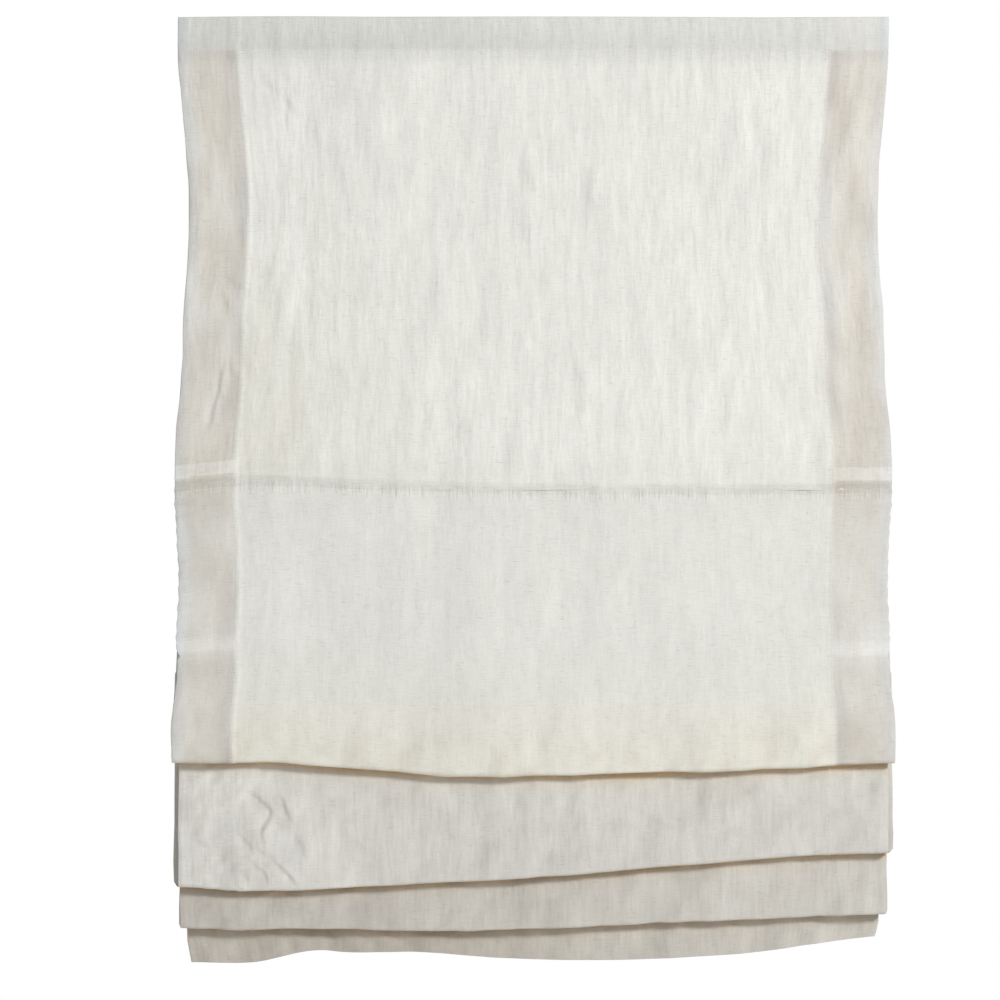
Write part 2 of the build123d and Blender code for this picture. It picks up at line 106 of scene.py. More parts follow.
class Finish:
    """A finish in the making: its material, and how its parts are added, joined and worked out."""

    def __init__(self, name):
        self.material = bpy.data.materials.new(name)
        self.material.use_nodes = True
        self.tree = self.material.node_tree
        self.shader = self.tree.nodes["Principled BSDF"]

    def join(self, node, links):
        for key, source in links.items():
            self.tree.links.new(source, node.inputs[key])

    def set(self, **constants):
        """Set the shader's own values; each name is the socket's, with _ for a space."""
        for key, value in constants.items():
            self.shader.inputs[key.replace("_", " ")].default_value = value

    def add(self, kind, values=(), links=(), **settings):
        made = self.tree.nodes.new("ShaderNode" + kind)
        for key, value in settings.items():
            setattr(made, key, value)
        for key, value in dict(values).items():
            made.inputs[key].default_value = value
        self.join(made, dict(links))
        return made

    def maths(self, operation, *terms):
        """A sum of sockets and plain numbers."""
        made = self.add("Math", operation=operation)
        for key, term in enumerate(terms):
            if hasattr(term, "is_output"):
                self.join(made, {key: term})
            else:
                made.inputs[key].default_value = term
        return made.outputs[0]

    def times(self, a, b, plus=0.0):
        return self.maths("MULTIPLY_ADD", a, b, plus)

    def spread(self, marks, low, high, start=0.3, full=0.7, **settings):
        """Marks drawn out from one span of values to another."""
        return self.add("MapRange", {"From Min": start, "From Max": full, "To Min": low, "To Max": high},
                        {"Value": marks}, **settings).outputs[0]

    def noise(self, scale, detail, **values):
        """Random marks in the piece itself; three scales stretch them along an axis."""
        place = self.add("TexCoord").outputs["Object"]
        if isinstance(scale, tuple):
            place = self.add("Mapping", {"Scale": scale}, {"Vector": place}).outputs[0]
            scale = 1.0
        noise = self.add("TexNoise", {"Scale": scale, "Detail": detail, **values}, {"Vector": place})
        return noise.outputs["Fac"]

    def dye(self, colour, shade):
        """One colour, made lighter and darker by the shade."""
        dyed = self.add("VectorMath", {0: colour}, {"Scale": shade}, operation="SCALE")
        self.join(self.shader, {"Base Color": dyed.outputs[0]})

    def dye_between(self, dark, light, marks, start=0.0, full=1.0):
        """Two colours, blended by the marks."""
        blend = self.add("ValToRGB", links={"Fac": marks})
        for end, at, colour in zip(blend.color_ramp.elements, (start, full), (dark, light)):
            end.position, end.color = at, (*colour, 1.0)
        self.join(self.shader, {"Base Color": blend.outputs[0]})

    def polish(self, marks, low, high, start=0.3, full=0.7):
        """Gloss that varies with the marks; these are the lowest and highest roughness."""
        self.join(self.shader, {"Roughness": self.spread(marks, low, high, start, full)})

    def emboss(self, height, strength, deep):
        """A fine relief in the surface, this deep in metres."""
        relief = self.add("Bump", {"Strength": strength, "Distance": deep}, {"Height": height})
        self.join(self.shader, {"Normal": relief.outputs[0]})
        return relief.outputs[0]


FLOOR_BELOW, FLOOR_R = 0.55, 3.6
floor_mesh = bmesh.new()
bmesh.ops.create_circle(floor_mesh, cap_ends=True, segments=96, radius=FLOOR_R)
studio_floor = placed("studio_floor", bpy.data.meshes.new("studio_floor"))
floor_mesh.to_mesh(studio_floor.data)
studio_floor.location = (0.0, 0.0, cloth_low[2] - FLOOR_BELOW)
paint = Finish("pale_floor_paint")
paint.set(Base_Color=(0.84, 0.84, 0.84, 1.0), Roughness=0.9, Emission_Color=(1.0, 1.0, 1.0, 1.0))
floor_seen = paint.add("LightPath").outputs["Is Camera Ray"]
paint.join(paint.shader, {"Emission Strength": paint.spread(floor_seen, 0.22, 0.6, 0.0, 1.0)})
studio_floor.data.materials.append(paint.material)

# --------------------------------------------
# The cloth: one length of off-white linen. It hangs flat from the header to
# the first rod, then lies in three soft folds and a tail. Both sides are
# turned to the back in a broad hem, with painted shade in the colour where it is double.

HEADER = 0.0305
SIDE_HEM = 0.055
HEM_BACK = 0.0016  # how far the turned-in hem lies behind the front
COLUMN_PITCH, FINE_PITCH = 0.0042, 0.0016
CRUMPLED = (0.012, 0.122)  # finer columns between these distances from the left edge
ROW_PITCH, HIDDEN_PITCH = 0.0046, 0.016
BACK_COLUMNS = 4
FIRST_FRONT = BACK_COLUMNS + 3

rods = []
for number in (1, 2, 3, 4):
    rod_low, rod_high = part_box(f"support_rod_{number}")
    rods.append(((rod_low[1] + rod_high[1]) / 2, TOP - (rod_low[2] + rod_high[2]) / 2))
ROD_Y = rods[0][0]

# Outlines, as (distance from the left edge, depth below the header's top), millimetres.
TOP_EDGE = ((0, 0), (50, -0.6), (100, -0.8), (180, -0.4), (300, -0.6), (460, -0.2), (510, 0.1),
            (650, -0.3))
CREASE = ((0, 427), (55, 421), (134, 423), (220, 426), (300, 428), (460, 429), (650, 428))
FOLD_ONE = ((0, 679), (56, 681), (87, 680), (127, 684.5), (178, 688), (230, 691), (350, 692.5),
            (413, 692), (479, 689), (519, 687), (596, 684.5), (650, 682))
FOLD_TWO = ((0, 793), (56, 798), (80, 798), (138, 796), (198, 793), (295, 788), (366, 783),
            (437, 777), (560, 767), (596, 765), (650, 763))
FOLD_THREE = ((0, 832.6), (56, 835), (93, 834), (158, 835), (220, 836), (295, 835), (366, 832.5),
              (437, 829), (540, 825), (596, 822), (650, 820))
TAIL = ((0, 866), (66, 864.7), (84, 861), (117, 855.5), (126, 854.8), (148, 856.4), (220, 856.4),
        (295, 862), (390, 863.8), (478, 860.6), (540, 856), (596, 848.7), (650, 842))
# How the cloth stands out (mm) across the first rod's stitched pocket, from above to below.
POCKET_SECTION = ((-24, 0), (-12, 0.5), (-4, 1.2), (-1.2, 1.0), (1.0, 0.1), (7.0, -1.4), (10, -1.3),
                  (15, -0.6), (30, 0))
# How far the side edge draws in (or, below nought, stands out) at each depth.
SIDE_EDGE = ((0, 0), (35, 0.3), (90, 4.6), (145, 9.0), (215, 9.2), (270, 5.0), (335, 2.8),
             (385, -1.8), (440, -3.4), (480, -0.5), (530, 0.9), (575, -0.9), (600, 0), (640, -4.2),
             (700, -3.6))


def drawn(points, where):
    """A smooth line through a few points, read at each place in where (both in metres)."""
    at, value = np.array(points, dtype=float).T / 1000.0
    slope = np.gradient(value, at)
    where = np.clip(where, at[0], at[-1])
    part = np.clip(np.searchsorted(at, where) - 1, 0, len(at) - 2)
    gap = at[part + 1] - at[part]
    t = (where - at[part]) / gap
    return ((2 * t**3 - 3 * t**2 + 1) * value[part] + (t**3 - 2 * t**2 + t) * gap * slope[part]
            + (3 * t**2 - 2 * t**3) * value[part + 1] + (t**3 - t**2) * gap * slope[part + 1])


def eased(points, where, reach=0.009):
    """The same line with its corners eased, as cloth hangs."""
    spread = np.linspace(-2.0, 2.0, 17)
    weight = np.exp(-spread ** 2)
    return sum(w * drawn(points, where + reach * s) for w, s in zip(weight, spread)) / weight.sum()


LATTICE = (97, 89)  # how many random heights a rumple has before it repeats


def rumple(seed, u, v):
    """Smooth random height, about -1 to 1, on a lattice one unit apart."""
    table = np.random.default_rng(seed).uniform(-1.0, 1.0, LATTICE)
    iu, iv = np.floor(u).astype(int), np.floor(v).astype(int)
    fu, fv = u - iu, v - iv
    fu, fv = fu * fu * (3 - 2 * fu), fv * fv * (3 - 2 * fv)
    left, right = iu % LATTICE[0], (iu + 1) % LATTICE[0]
    high, low = iv % LATTICE[1], (iv + 1) % LATTICE[1]
    above = table[left, high] * (1 - fu) + table[right, high] * fu
    below = table[left, low] * (1 - fu) + table[right, low] * fu
    return above * (1 - fv) + below * fv


def step_between(start, end, value):
    """Nought before the start and one past the end, eased between."""
    t = np.clip((value - start) / (end - start), 0.0, 1.0)
    return t * t * (3 - 2 * t)


def band(value, outer, inner, inner_end, outer_end):
    """One inside a band, eased to nought at its outer ends."""
    return step_between(outer, inner, value) * (1 - step_between(inner_end, outer_end, value))


def bump(value, width):
    """One where the value is nought, fading within about the width."""
    return np.exp(-((value / width) ** 2))


def unit(rows_of_points):
    """The same directions, each one long."""
    return rows_of_points / np.linalg.norm(rows_of_points, axis=-1, keepdims=True)


def bend(before, corner, after, radius, steps):
    """Points round a filleted corner, for every column at once."""
    a, b = unit(before - corner), unit(after - corner)
    half = np.arccos(np.clip((a * b).sum(-1, keepdims=True), -1, 1)) / 2
    start, end = corner + a * radius / np.tan(half), corner + b * radius / np.tan(half)
    centre = corner + unit(a + b) * radius / np.sin(half)
    angle = np.pi - 2 * half
    return [centre + (np.sin((1 - t) * angle) * (start - centre)
                      + np.sin(t * angle) * (end - centre)) / np.sin(angle)
            for t in np.linspace(0.0, 1.0, steps + 1)]


# Columns run from the back of the left hem, round its edge, across the front,
# and round the right edge to the back again.
front_x = np.concatenate((np.arange(0.0, CRUMPLED[0], COLUMN_PITCH),
                          np.arange(CRUMPLED[0], CRUMPLED[1], FINE_PITCH),
                          np.linspace(CRUMPLED[1], WIDTH, round((WIDTH - CRUMPLED[1]) / COLUMN_PITCH))))
back_x = np.linspace(SIDE_HEM, 0.004, BACK_COLUMNS)
round_edge = np.linspace(np.pi, 0.0, 5)[1:-1]
column_x = np.concatenate((back_x, 0.0 * round_edge, front_x, WIDTH - 0.0 * round_edge,
                           WIDTH - back_x[::-1]))
edge_back = HEM_BACK / 2 * (1 - np.cos(round_edge))
column_back = np.concatenate((np.full(BACK_COLUMNS, HEM_BACK), edge_back, 0.0 * front_x, edge_back[::-1],
                              np.full(BACK_COLUMNS, HEM_BACK)))
edge_out = HEM_BACK / 2 * np.sin(round_edge)
column_out = np.concatenate((np.zeros(BACK_COLUMNS), -edge_out, 0.0 * front_x, edge_out,
                             np.zeros(BACK_COLUMNS)))
side_distance = np.minimum(column_x, WIDTH - column_x)

PANEL_Y = ROD_Y - 0.0036
HEADER_Y = PANEL_Y - 0.0004
TURN = 0.0013  # half the cloth's turn under a rod's pocket, front to back
in_y, out_y = ROD_Y - TURN, ROD_Y + TURN
pass_y, near_y, far_y = ROD_Y - 0.0046, ROD_Y - 0.0082, ROD_Y - 0.012


def corner(y, depth, radius=0.0, steps=0, pitch=ROW_PITCH):
    """A corner of the cloth's section, across all columns, and the row pitch after it."""
    ones = np.ones_like(column_x)
    return {"at": np.stack((ones * y, ones * depth), -1), "radius": radius, "steps": steps, "pitch": pitch}


def at_rod(rod_depth, pitch=ROW_PITCH):
    """The cloth comes up to a rod's pocket, turns, and goes down behind."""
    foot, top = rod_depth + 0.0085, rod_depth + 0.0028
    return [corner(in_y, foot, 0.006, 2), corner(in_y, top, 0.0012, 3),
            corner(out_y, top, 0.0012, 3), corner(out_y, foot, 0.006, 2, pitch)]


crease = eased(CREASE, column_x)
foot_one, foot_two = eased(FOLD_ONE, column_x, 0.016), eased(FOLD_TWO, column_x, 0.014)
foot_three, tail = eased(FOLD_THREE, column_x), eased(TAIL, column_x, 0.004)
depth_two, depth_three, depth_four = (rod_depth for _, rod_depth in rods[1:])
sway = 0.0016 * rumple(3, column_x / 0.11, 0.0 * column_x)

path = [
    corner(HEADER_Y, drawn(TOP_EDGE, column_x)),
    corner(PANEL_Y, crease - 0.026, pitch=0.0018),
    corner(PANEL_Y, crease, 0.02, 2, 0.0018),
    corner(PANEL_Y - 0.0041, crease + 0.03),
    corner(PANEL_Y - 0.015 + sway, crease + 0.11, 0.25, 8),
    corner(-0.047 + sway, foot_one + 0.0012, 0.0052, 9),
    corner(-0.036 + sway, foot_one + 0.0012, 0.0046, 7, HIDDEN_PITCH),
    corner(near_y, depth_two + 0.035, 0.02, 3, HIDDEN_PITCH),
    *at_rod(depth_two),
    corner(pass_y, depth_three - 0.006, 0.02, 3, HIDDEN_PITCH),
    corner(far_y, depth_four - 0.014, 0.06, 3, 0.0023),
    corner(-0.04 + sway, foot_two + 0.0012, 0.0043, 9),
    corner(-0.031 + sway, foot_two + 0.0012, 0.0039, 7, HIDDEN_PITCH),
    corner(near_y, depth_three + 0.035, 0.02, 3, HIDDEN_PITCH),
    *at_rod(depth_three),
    corner(pass_y, depth_four - 0.006, 0.02, 3, HIDDEN_PITCH),
    corner(pass_y - 0.0035, foot_two - 0.012, 0.3, 2, 0.0024),
    corner(-0.0285 + sway, foot_three + 0.001, 0.0036, 9),
    corner(-0.0205 + sway, foot_three + 0.001, 0.0034, 7, HIDDEN_PITCH),
    *at_rod(depth_four, HIDDEN_PITCH),
    corner(out_y + 0.0012, foot_three - 0.012, 0.3, 2, 0.0024),
    corner(out_y + 0.002, tail),
]

stations = []
for index, here in enumerate(path):
    if here["radius"] > 0.0:
        arc = bend(path[index - 1]["at"], here["at"], path[index + 1]["at"], here["radius"],
                   here["steps"])
    else:
        arc = [here["at"]]
    if stations:
        gap = np.linalg.norm(arc[0] - stations[-1], axis=-1).mean()
        count = max(1, round(gap / path[index - 1]["pitch"]))
        stations += [stations[-1] + (arc[0] - stations[-1]) * k / count for k in range(1, count)]
    first = len(stations)
    stations += arc
    here["row"] = (first, len(stations) - 1)
grid = np.stack(stations)
ROWS, COLUMNS = grid.shape[:2]
row_length = np.linalg.norm(np.diff(grid, axis=0), axis=-1).mean(axis=1)
run = np.concatenate(([0.0], np.cumsum(row_length)))[:, None] * np.ones(COLUMNS)
along = unit(np.gradient(grid, axis=0))
outward = np.stack((-along[..., 1], along[..., 0]), -1)  # to the room, on a panel that hangs down

y, depth = grid[..., 0].copy(), grid[..., 1].copy()
in_depth = grid[..., 1]
across = np.ones((ROWS, 1)) * column_x
from_side = np.ones((ROWS, 1)) * side_distance
row = np.arange(ROWS)[:, None] * np.ones(COLUMNS)
crease_row, crease_end = path[2]["row"]
row_foot_one, row_two, row_foot_two, row_three, row_foot_three, row_four = (
    path[number]["row"][1] for number in (5, 9, 14, 18, 23, 26))
on_panel = row <= crease_end
on_one = (row > crease_row) & (row <= row_foot_one + 8)
on_two = (row > row_two) & (row <= row_foot_two + 8)
on_three = (row > row_three) & (row <= row_foot_three + 8)
on_tail = row > row_four
front_part = row <= row_foot_one + 2


def waves(seed, wide, tall, lean=0.0):
    """Random waves over the cloth, this wide and tall, leaning sideways as they go down."""
    return rumple(seed, (across + lean * run) / wide, run / tall)


# The header is the cloth turned over once: a little proud, with a soft lower edge.
lift = 0.0008 * (1 - step_between(HEADER - 0.0005, HEADER + 0.003, depth)) * on_panel
lift += 0.00015 * rumple(11, across / 0.02, depth / 0.008) * bump(depth - HEADER, 0.006) * on_panel

# Long upright creases and a slow sway over the flat panel, calmer below the rod.
from_crease = run - run[crease_row]
calm = step_between(0.018, 0.07, depth) * front_part
pressed = 1 - 0.55 * step_between(-0.01, 0.04, from_crease)
lift += calm * (0.001 * waves(21, 0.085, 0.33) + 0.00095 * waves(22, 0.03, 0.13))
patchy = (0.25 + 0.75 * step_between(-0.3, 0.6, waves(24, 0.06, 0.1))) * pressed
slant = across + 0.01 * waves(26, 0.05, 0.045)
lift += calm * patchy * (0.00085 * rumple(23, slant / 0.0165, run / 0.05)
                         + 0.00042 * rumple(25, (slant + 0.25 * run) / 0.013, run / 0.03)
                         + 0.00025 * rumple(27, (slant - 0.22 * run) / 0.0095, run / 0.02))
silky = bump(across - 0.1, 0.04) * bump(depth - 0.3, 0.16) * calm
lift += silky * 0.0009 * rumple(28, (across + 0.18 * depth) / 0.013, depth / 0.045)

# The first rod's stitched pocket: a swell, a band that falls back, and small
# upright puckers where the stitches draw the cloth up.
lift += front_part * drawn(POCKET_SECTION, from_crease)
pucker = rumple(31, across / 0.0052, run * 0 + 0.5) + 0.7 * rumple(32, across / 0.014, run * 0 + 0.5)
lift += front_part * 0.00042 * pucker * bump(from_crease - 0.0095, 0.005)
lift += front_part * 0.0003 * waves(34, 0.045, 0.006) * bump(from_crease, 0.014)
RING_TACK = 0.3843  # where a ring's stitches pull the cloth, from the left edge
lift += front_part * 0.0016 * bump(across - RING_TACK, 0.005) * bump(from_crease - 0.003, 0.006)
lift += front_part * 0.0007 * bump(across - 0.108, 0.016) * bump(from_crease + 0.008, 0.0016)

# In the turned-in hem the pocket reads as two flat bands, above and below.
in_hem = 1 - step_between(SIDE_HEM - 0.004, SIDE_HEM + 0.001, from_side)
lift += front_part * in_hem * 0.0008 * band(from_crease, -0.016, -0.014, -0.004, -0.001)
lift += 0.00035 * bump(from_side - SIDE_HEM, 0.0022)
lift += 0.0005 * in_hem * waves(33, 0.03, 0.055) * calm

# Folds: slow flutes, a foot that wanders a little, and cloth held straight by each rod.
body_one = on_one * step_between(0.02, 0.12, from_crease)
lift += body_one * (0.0022 * waves(41, 0.14, 0.5) + 0.0006 * waves(42, 0.045, 0.11))
near_foot_one = on_one * step_between(0.19, 0.24, from_crease) * (
    1 - 0.85 * step_between(0.24, 0.262, from_crease))
lift += near_foot_one * (0.0012 * waves(48, 0.015, 0.024) + 0.00045 * waves(47, 0.009, 0.013))
loose = 1 - sum(bump(run - run[rod_row], 0.022) for rod_row in (row_two, row_three, row_four))
lift += on_two * loose * (1 - 0.55 * bump(row - row_foot_two, 9.0)) * (
    0.0011 * waves(43, 0.09, 0.1) + 0.00125 * waves(44, 0.028, 0.05) + 0.00035 * waves(49, 0.011, 0.018)
    + 0.0012 * bump(across - 0.04, 0.045) * waves(38, 0.0085, 0.0075, 0.4))
lift += on_three * loose * (1 - 0.55 * bump(row - row_foot_three, 9.0)) * (
    0.0014 * waves(45, 0.05, 0.08) + 0.00135 * waves(40, 0.017, 0.018, 0.5))
lift += on_tail * loose * (0.0018 * waves(46, 0.045, 0.1) + 0.0015 * waves(39, 0.016, 0.02, -0.4))

# Crumples pressed into the cloth: each a line of (distance from the left edge,
# depth) in millimetres, then its height and its half width.
FOLD_CRUMPLES = (
    (((62, 705), (70, 711), (82, 720), (86, 727), (82, 738), (77, 746), (78, 757)), 0.0015, 0.0017),
    (((93, 712), (98, 719), (100, 727), (106, 735)), 0.0012, 0.0015),
    (((86, 716), (94, 721), (101, 722)), 0.0008, 0.0014),
    (((54, 744), (60, 752), (66, 757), (69, 764)), 0.001, 0.0015),
    (((70, 757), (80, 765), (90, 768)), 0.001, 0.0016),
    (((64, 768), (72, 776), (80, 782), (84, 792)), 0.0012, 0.0016),
    (((88, 770), (96, 777), (104, 786), (110, 793)), 0.0015, 0.0017),
    (((48, 776), (58, 781), (66, 790)), 0.0009, 0.0016),
    (((20, 722), (34, 716), (46, 719)), 0.0009, 0.0026),
    (((14, 750), (28, 757), (40, 754)), 0.0009, 0.0026),
    (((108, 748), (116, 757), (120, 770)), 0.0008, 0.0026),
    (((150, 742), (170, 758), (190, 766)), 0.0008, 0.0045),
    (((240, 742), (262, 750), (300, 752)), 0.0008, 0.005),
    (((420, 722), (445, 735), (470, 741)), 0.0008, 0.005),
)
HEM_CRUMPLES = (
    (((40.6, 314), (36.6, 328), (35.7, 343), (32, 356), (31, 372), (25.6, 382)), 0.0011, 0.0016),
    (((36, 236), (46, 243), (53, 245), (60, 251)), 0.0012, 0.0026),
    (((10, 243), (18, 245), (24, 243)), 0.0008, 0.0022),
    (((44, 318), (48, 327), (53, 331)), 0.0008, 0.0022),
    (((34, 252), (40, 262), (42, 276)), 0.0006, 0.002),
)
PANEL_CRUMPLES = (
    (((72, 48), (84, 62), (92, 66)), 0.0008, 0.002),
    (((96, 70), (104, 82), (110, 88)), 0.0008, 0.002),
    (((103, 78), (98, 90), (99, 104)), 0.0006, 0.002),
    (((318, 128), (324, 148), (331, 164)), 0.0008, 0.003),
    (((372, 130), (378, 142), (376, 160), (380, 176)), 0.001, 0.003),
    (((404, 150), (408, 172), (413, 186)), 0.0008, 0.003),
    (((452, 150), (458, 170), (464, 190)), 0.0007, 0.003),
    (((366, 318), (372, 334), (368, 350), (374, 368)), 0.0009, 0.0032),
    (((430, 300), (434, 322), (430, 345)), 0.0007, 0.003),
    (((500, 330), (506, 352), (503, 372)), 0.0007, 0.003),
    (((262, 96), (268, 120), (266, 142)), 0.0007, 0.003),
)


def creased(lines, part):
    """The relief of pressed creases, and painted shade on their dark side, over one part of the cloth."""
    relief, dark = np.zeros((ROWS, COLUMNS)), np.zeros((ROWS, COLUMNS))
    wobble = 0.0007 * waves(75, 0.0045, 0.0055) + 0.0006 * waves(76, 0.011, 0.012)
    for line, height, width in lines:
        line = np.array(line) / 1000.0
        nearest, sided = np.full((ROWS, COLUMNS), 1.0), np.zeros((ROWS, COLUMNS))
        for a, b in zip(line, line[1:]):
            ahead, (right, down) = b - a, (across - a[0], depth - a[1])
            t = np.clip((right * ahead[0] + down * ahead[1]) / (ahead ** 2).sum(), 0.0, 1.0)
            gap = np.hypot(right - t * ahead[0], down - t * ahead[1])
            away = np.sign(right * ahead[1] - down * ahead[0])
            sided = np.where(gap < nearest, away * gap, sided)
            nearest = np.minimum(nearest, gap)
        sided = sided + wobble
        from_middle = np.hypot(across - line[:, 0].mean(), depth - line[:, 1].mean())
        half_length = 0.5 * np.linalg.norm(line[-1] - line[0]) + width
        fade = 1 - step_between(0.45, 1.1, from_middle / half_length)
        ridge = bump(sided, width) + np.tanh(sided / width) * bump(sided, 4.5 * width)
        relief += 0.62 * fade * height * ridge
        # painted shade along the crease's dark side
        dark += fade * bump(sided + 0.8 * width, 0.8 * width) * (height / 0.0015) ** 2
    return relief * part, dark * part


# Each crease's relief shapes the cloth; the painted shade on its dark side goes into the cloth's colour.
crease_shade = 0.0
for lines, part in ((FOLD_CRUMPLES, on_two), (HEM_CRUMPLES, front_part), (PANEL_CRUMPLES, front_part)):
    relief, dark = creased(lines, part)
    lift, crease_shade = lift + relief, crease_shade + dark

# The tail is nipped into a small upright fold.
nipped = on_tail * step_between(-0.014, -0.002, depth - foot_three)
lift += nipped * (0.0016 * bump(across - 0.1265, 0.006) - 0.0008 * bump(across - 0.137, 0.006))

# The relief stands on the section, and the back of each hem lies behind it.
y = y + outward[..., 0] * (lift - column_back)
depth = depth + outward[..., 1] * (lift - column_back)

# The side edges' own outline: drawn in and out, with a notch, scallops and a wander.
by_depth = drawn(SIDE_EDGE, np.clip(in_depth, 0.0, 0.7))
fold_shift = np.interp(
    np.arange(ROWS),
    [row_foot_one + 9, row_two, row_foot_two, row_foot_two + 9, row_three, row_foot_three,
     row_foot_three + 9, row_four, ROWS - 8, ROWS - 1],
    [-0.0036, 0.0012, 0.0016, -0.0034, 0.001, 0.003, 0.001, 0.006, 0.0085, 0.012])
below_fold_one = row > row_foot_one + 9
edge_shift = np.where(below_fold_one, fold_shift[:, None] * np.ones(COLUMNS), by_depth)
notch = 0.0026 * bump(in_depth - 0.584, 0.003) * (~below_fold_one)
SCALLOP_PITCH = 0.0135
scallop = 0.0011 * np.abs(np.sin(np.pi * run / SCALLOP_PITCH + 1.5 * rumple(51, run / 0.04, run * 0)))
scallop = scallop * band(run, 0.4, 0.46, 0.6, 0.66) * (~below_fold_one)
wander = 0.0007 * rumple(52, run / 0.022, (across > WIDTH / 2) * 7.0 + 0.5)
to_edge = 1 - step_between(0.045, 0.15, from_side)
close_edge = bump(from_side, 0.011)
inward = edge_shift * to_edge + (notch + scallop + wander) * close_edge
x = LEFT + across + inward * np.where(column_x < WIDTH / 2, 1.0, -1.0) + column_out
y = y - 0.0006 * np.sin(2 * np.pi * run / SCALLOP_PITCH) * close_edge * (scallop > 0)

# How dark and warm the cloth reads, painted into its colour: painted shade where
# the hems and header are double, painted light and shade on the pocket, folds and
# creases, and painted shade from its own layers in the stack.
tone = np.ones((ROWS, COLUMNS, 3))


def tinge(colour, amount):
    """Tint the cloth with a colour, by an amount from nought to one at each place."""
    tone[...] *= 1.0 + (np.array(colour) - 1.0) * amount[..., None]


upper = (row < row_foot_one + 6) * 1.0
in_header = (1 - step_between(HEADER - 0.001, HEADER + 0.0012, in_depth)) * on_panel
hem_body = in_hem * upper * (1 - 0.85 * in_header)
pocket_band = band(from_crease, -0.0155, -0.014, -0.0035, -0.0015)
# Painted shade over the double hem: mottled, deeper lower on the panel, lighter on the pocket band and the
# first fold's upper part.
mottled_hem_shade = (1.0 + 0.4 * waves(61, 0.014, 0.03) + 0.5 * waves(67, 0.03, 0.085)
              + 0.35 * step_between(0.27, 0.42, in_depth) * on_panel - 0.35 * pocket_band
              - 0.4 * band(from_crease, 0.02, 0.05, 0.16, 0.175))
tinge((0.895, 0.864, 0.838), hem_body * mottled_hem_shade)
# Painted highlights: a band on the hem near the first fold's foot, and the pocket's upper band.
tinge((1.1, 1.105, 1.12), hem_body * band(from_crease, 0.146, 0.15, 0.159, 0.162))
tinge((1.07, 1.075, 1.085), hem_body * pocket_band)
# Painted shade just under the crease and along the inside of the hem's inner edge.
tinge((0.93, 0.93, 0.925), hem_body * bump(from_crease - 0.002, 0.004))
inner_shade = bump(from_side - SIDE_HEM + 0.005, 0.008) * (0.6 + 0.8 * rumple(62, across * 0, run / 0.035))
tinge((0.885, 0.885, 0.9), hem_body * np.clip(inner_shade, 0, 1))
# A cooler tint along the side edges, and a painted highlight just beside the hem's inner edge.
tinge((0.955, 0.985, 1.05), bump(from_side, 0.0085) * upper)
tinge((1.045, 1.05, 1.05), bump(from_side - SIDE_HEM - 0.0022, 0.0016) * upper)

share = across / WIDTH
# Painted shade over the double header, deeper in its lower half and towards the left, and just under its lower
# edge.
header_painted_shade = (0.62 + 0.2 * step_between(0.004, 0.026, in_depth) - 0.42 * step_between(0.3, 1.0, share)
               + 0.22 * step_between(0.6, 0.85, share) + 0.1 * rumple(63, across / 0.006, in_depth / 0.03))
tinge((0.8, 0.805, 0.825), in_header * header_painted_shade)
tinge((0.91, 0.91, 0.92), bump(in_depth - HEADER - 0.003, 0.0075) * (in_depth > HEADER) * on_panel)

# Painted shade in the band where the cloth falls back below the crease, and along the pocket's stitches.
below_rod = band(from_crease, -0.0005, 0.001, 0.007, 0.0105) * upper
tinge((0.915, 0.915, 0.905), below_rod * (0.85 + 0.3 * rumple(64, across / 0.05, run * 0)))
stitch_shade = bump(from_crease - 0.0085, 0.0022) * upper
tinge((0.95, 0.945, 0.93), stitch_shade * (0.5 + 0.9 * rumple(69, across / 0.007, run * 0)))
# Painted warm shade, creamier towards the first fold's foot.
foot_warm_shade = step_between(0.15, 0.262, from_crease) * (row <= row_foot_one + 6)
tinge((1.01, 0.985, 0.935), foot_warm_shade * (1 - in_hem))
warm_patch = bump(across - 0.05, 0.12) * bump(run - 0.36, 0.13) * (1 - in_hem) * on_panel
tinge((0.965, 0.955, 0.93), warm_patch * (1.0 + 0.8 * waves(70, 0.018, 0.04)))
# Painted highlight: silky gleam patches on the panel's left side.
gleam = bump(across - 0.1, 0.05) * bump(run - 0.21, 0.1) * (1 - in_hem)
tinge((1.045, 1.052, 1.06), gleam * (0.45 + 1.1 * waves(65, 0.02, 0.05)))

in_stack = (row > row_foot_one + 6) * 1.0
third = ((row > row_foot_two + 6) & (row <= row_foot_three + 6)) * 1.0
last = (row > row_foot_three + 6) * 1.0
to_right = np.clip(across / 0.56, 0.0, 1.0)
# Painted shade from the cloth's own layers over the whole stack, deeper on the third fold and the tail towards
# the left.
tinge((0.805, 0.79, 0.78), in_stack * (1.0 + 0.2 * waves(68, 0.028, 0.04)))
tinge((0.84, 0.815, 0.8), third * (1.1 - 0.62 * to_right))
tinge((0.8, 0.77, 0.74), last * (1.1 - 0.5 * to_right + 0.45 * bump(across - 0.22, 0.12)))
# Painted warm shadow on the layer just below each fold's foot, and painted warm shade on each rolled foot.
for foot, below in ((foot_one, on_two), (foot_two, on_three), (foot_three, on_tail)):
    tinge((0.94, 0.89, 0.83), bump(in_depth - foot, 0.011) * below)
    tinge((1.04, 0.8, 0.51), bump(in_depth - foot, 0.005) * below * (1 - 0.45 * on_tail))
for foot_row, shade in ((row_foot_one, 1.0), (row_foot_two, 0.9), (row_foot_three, 0.9)):
    tinge((0.86, 0.6, 0.36), shade * bump((row - (foot_row + 1.0)) / 3.0, 1.0))
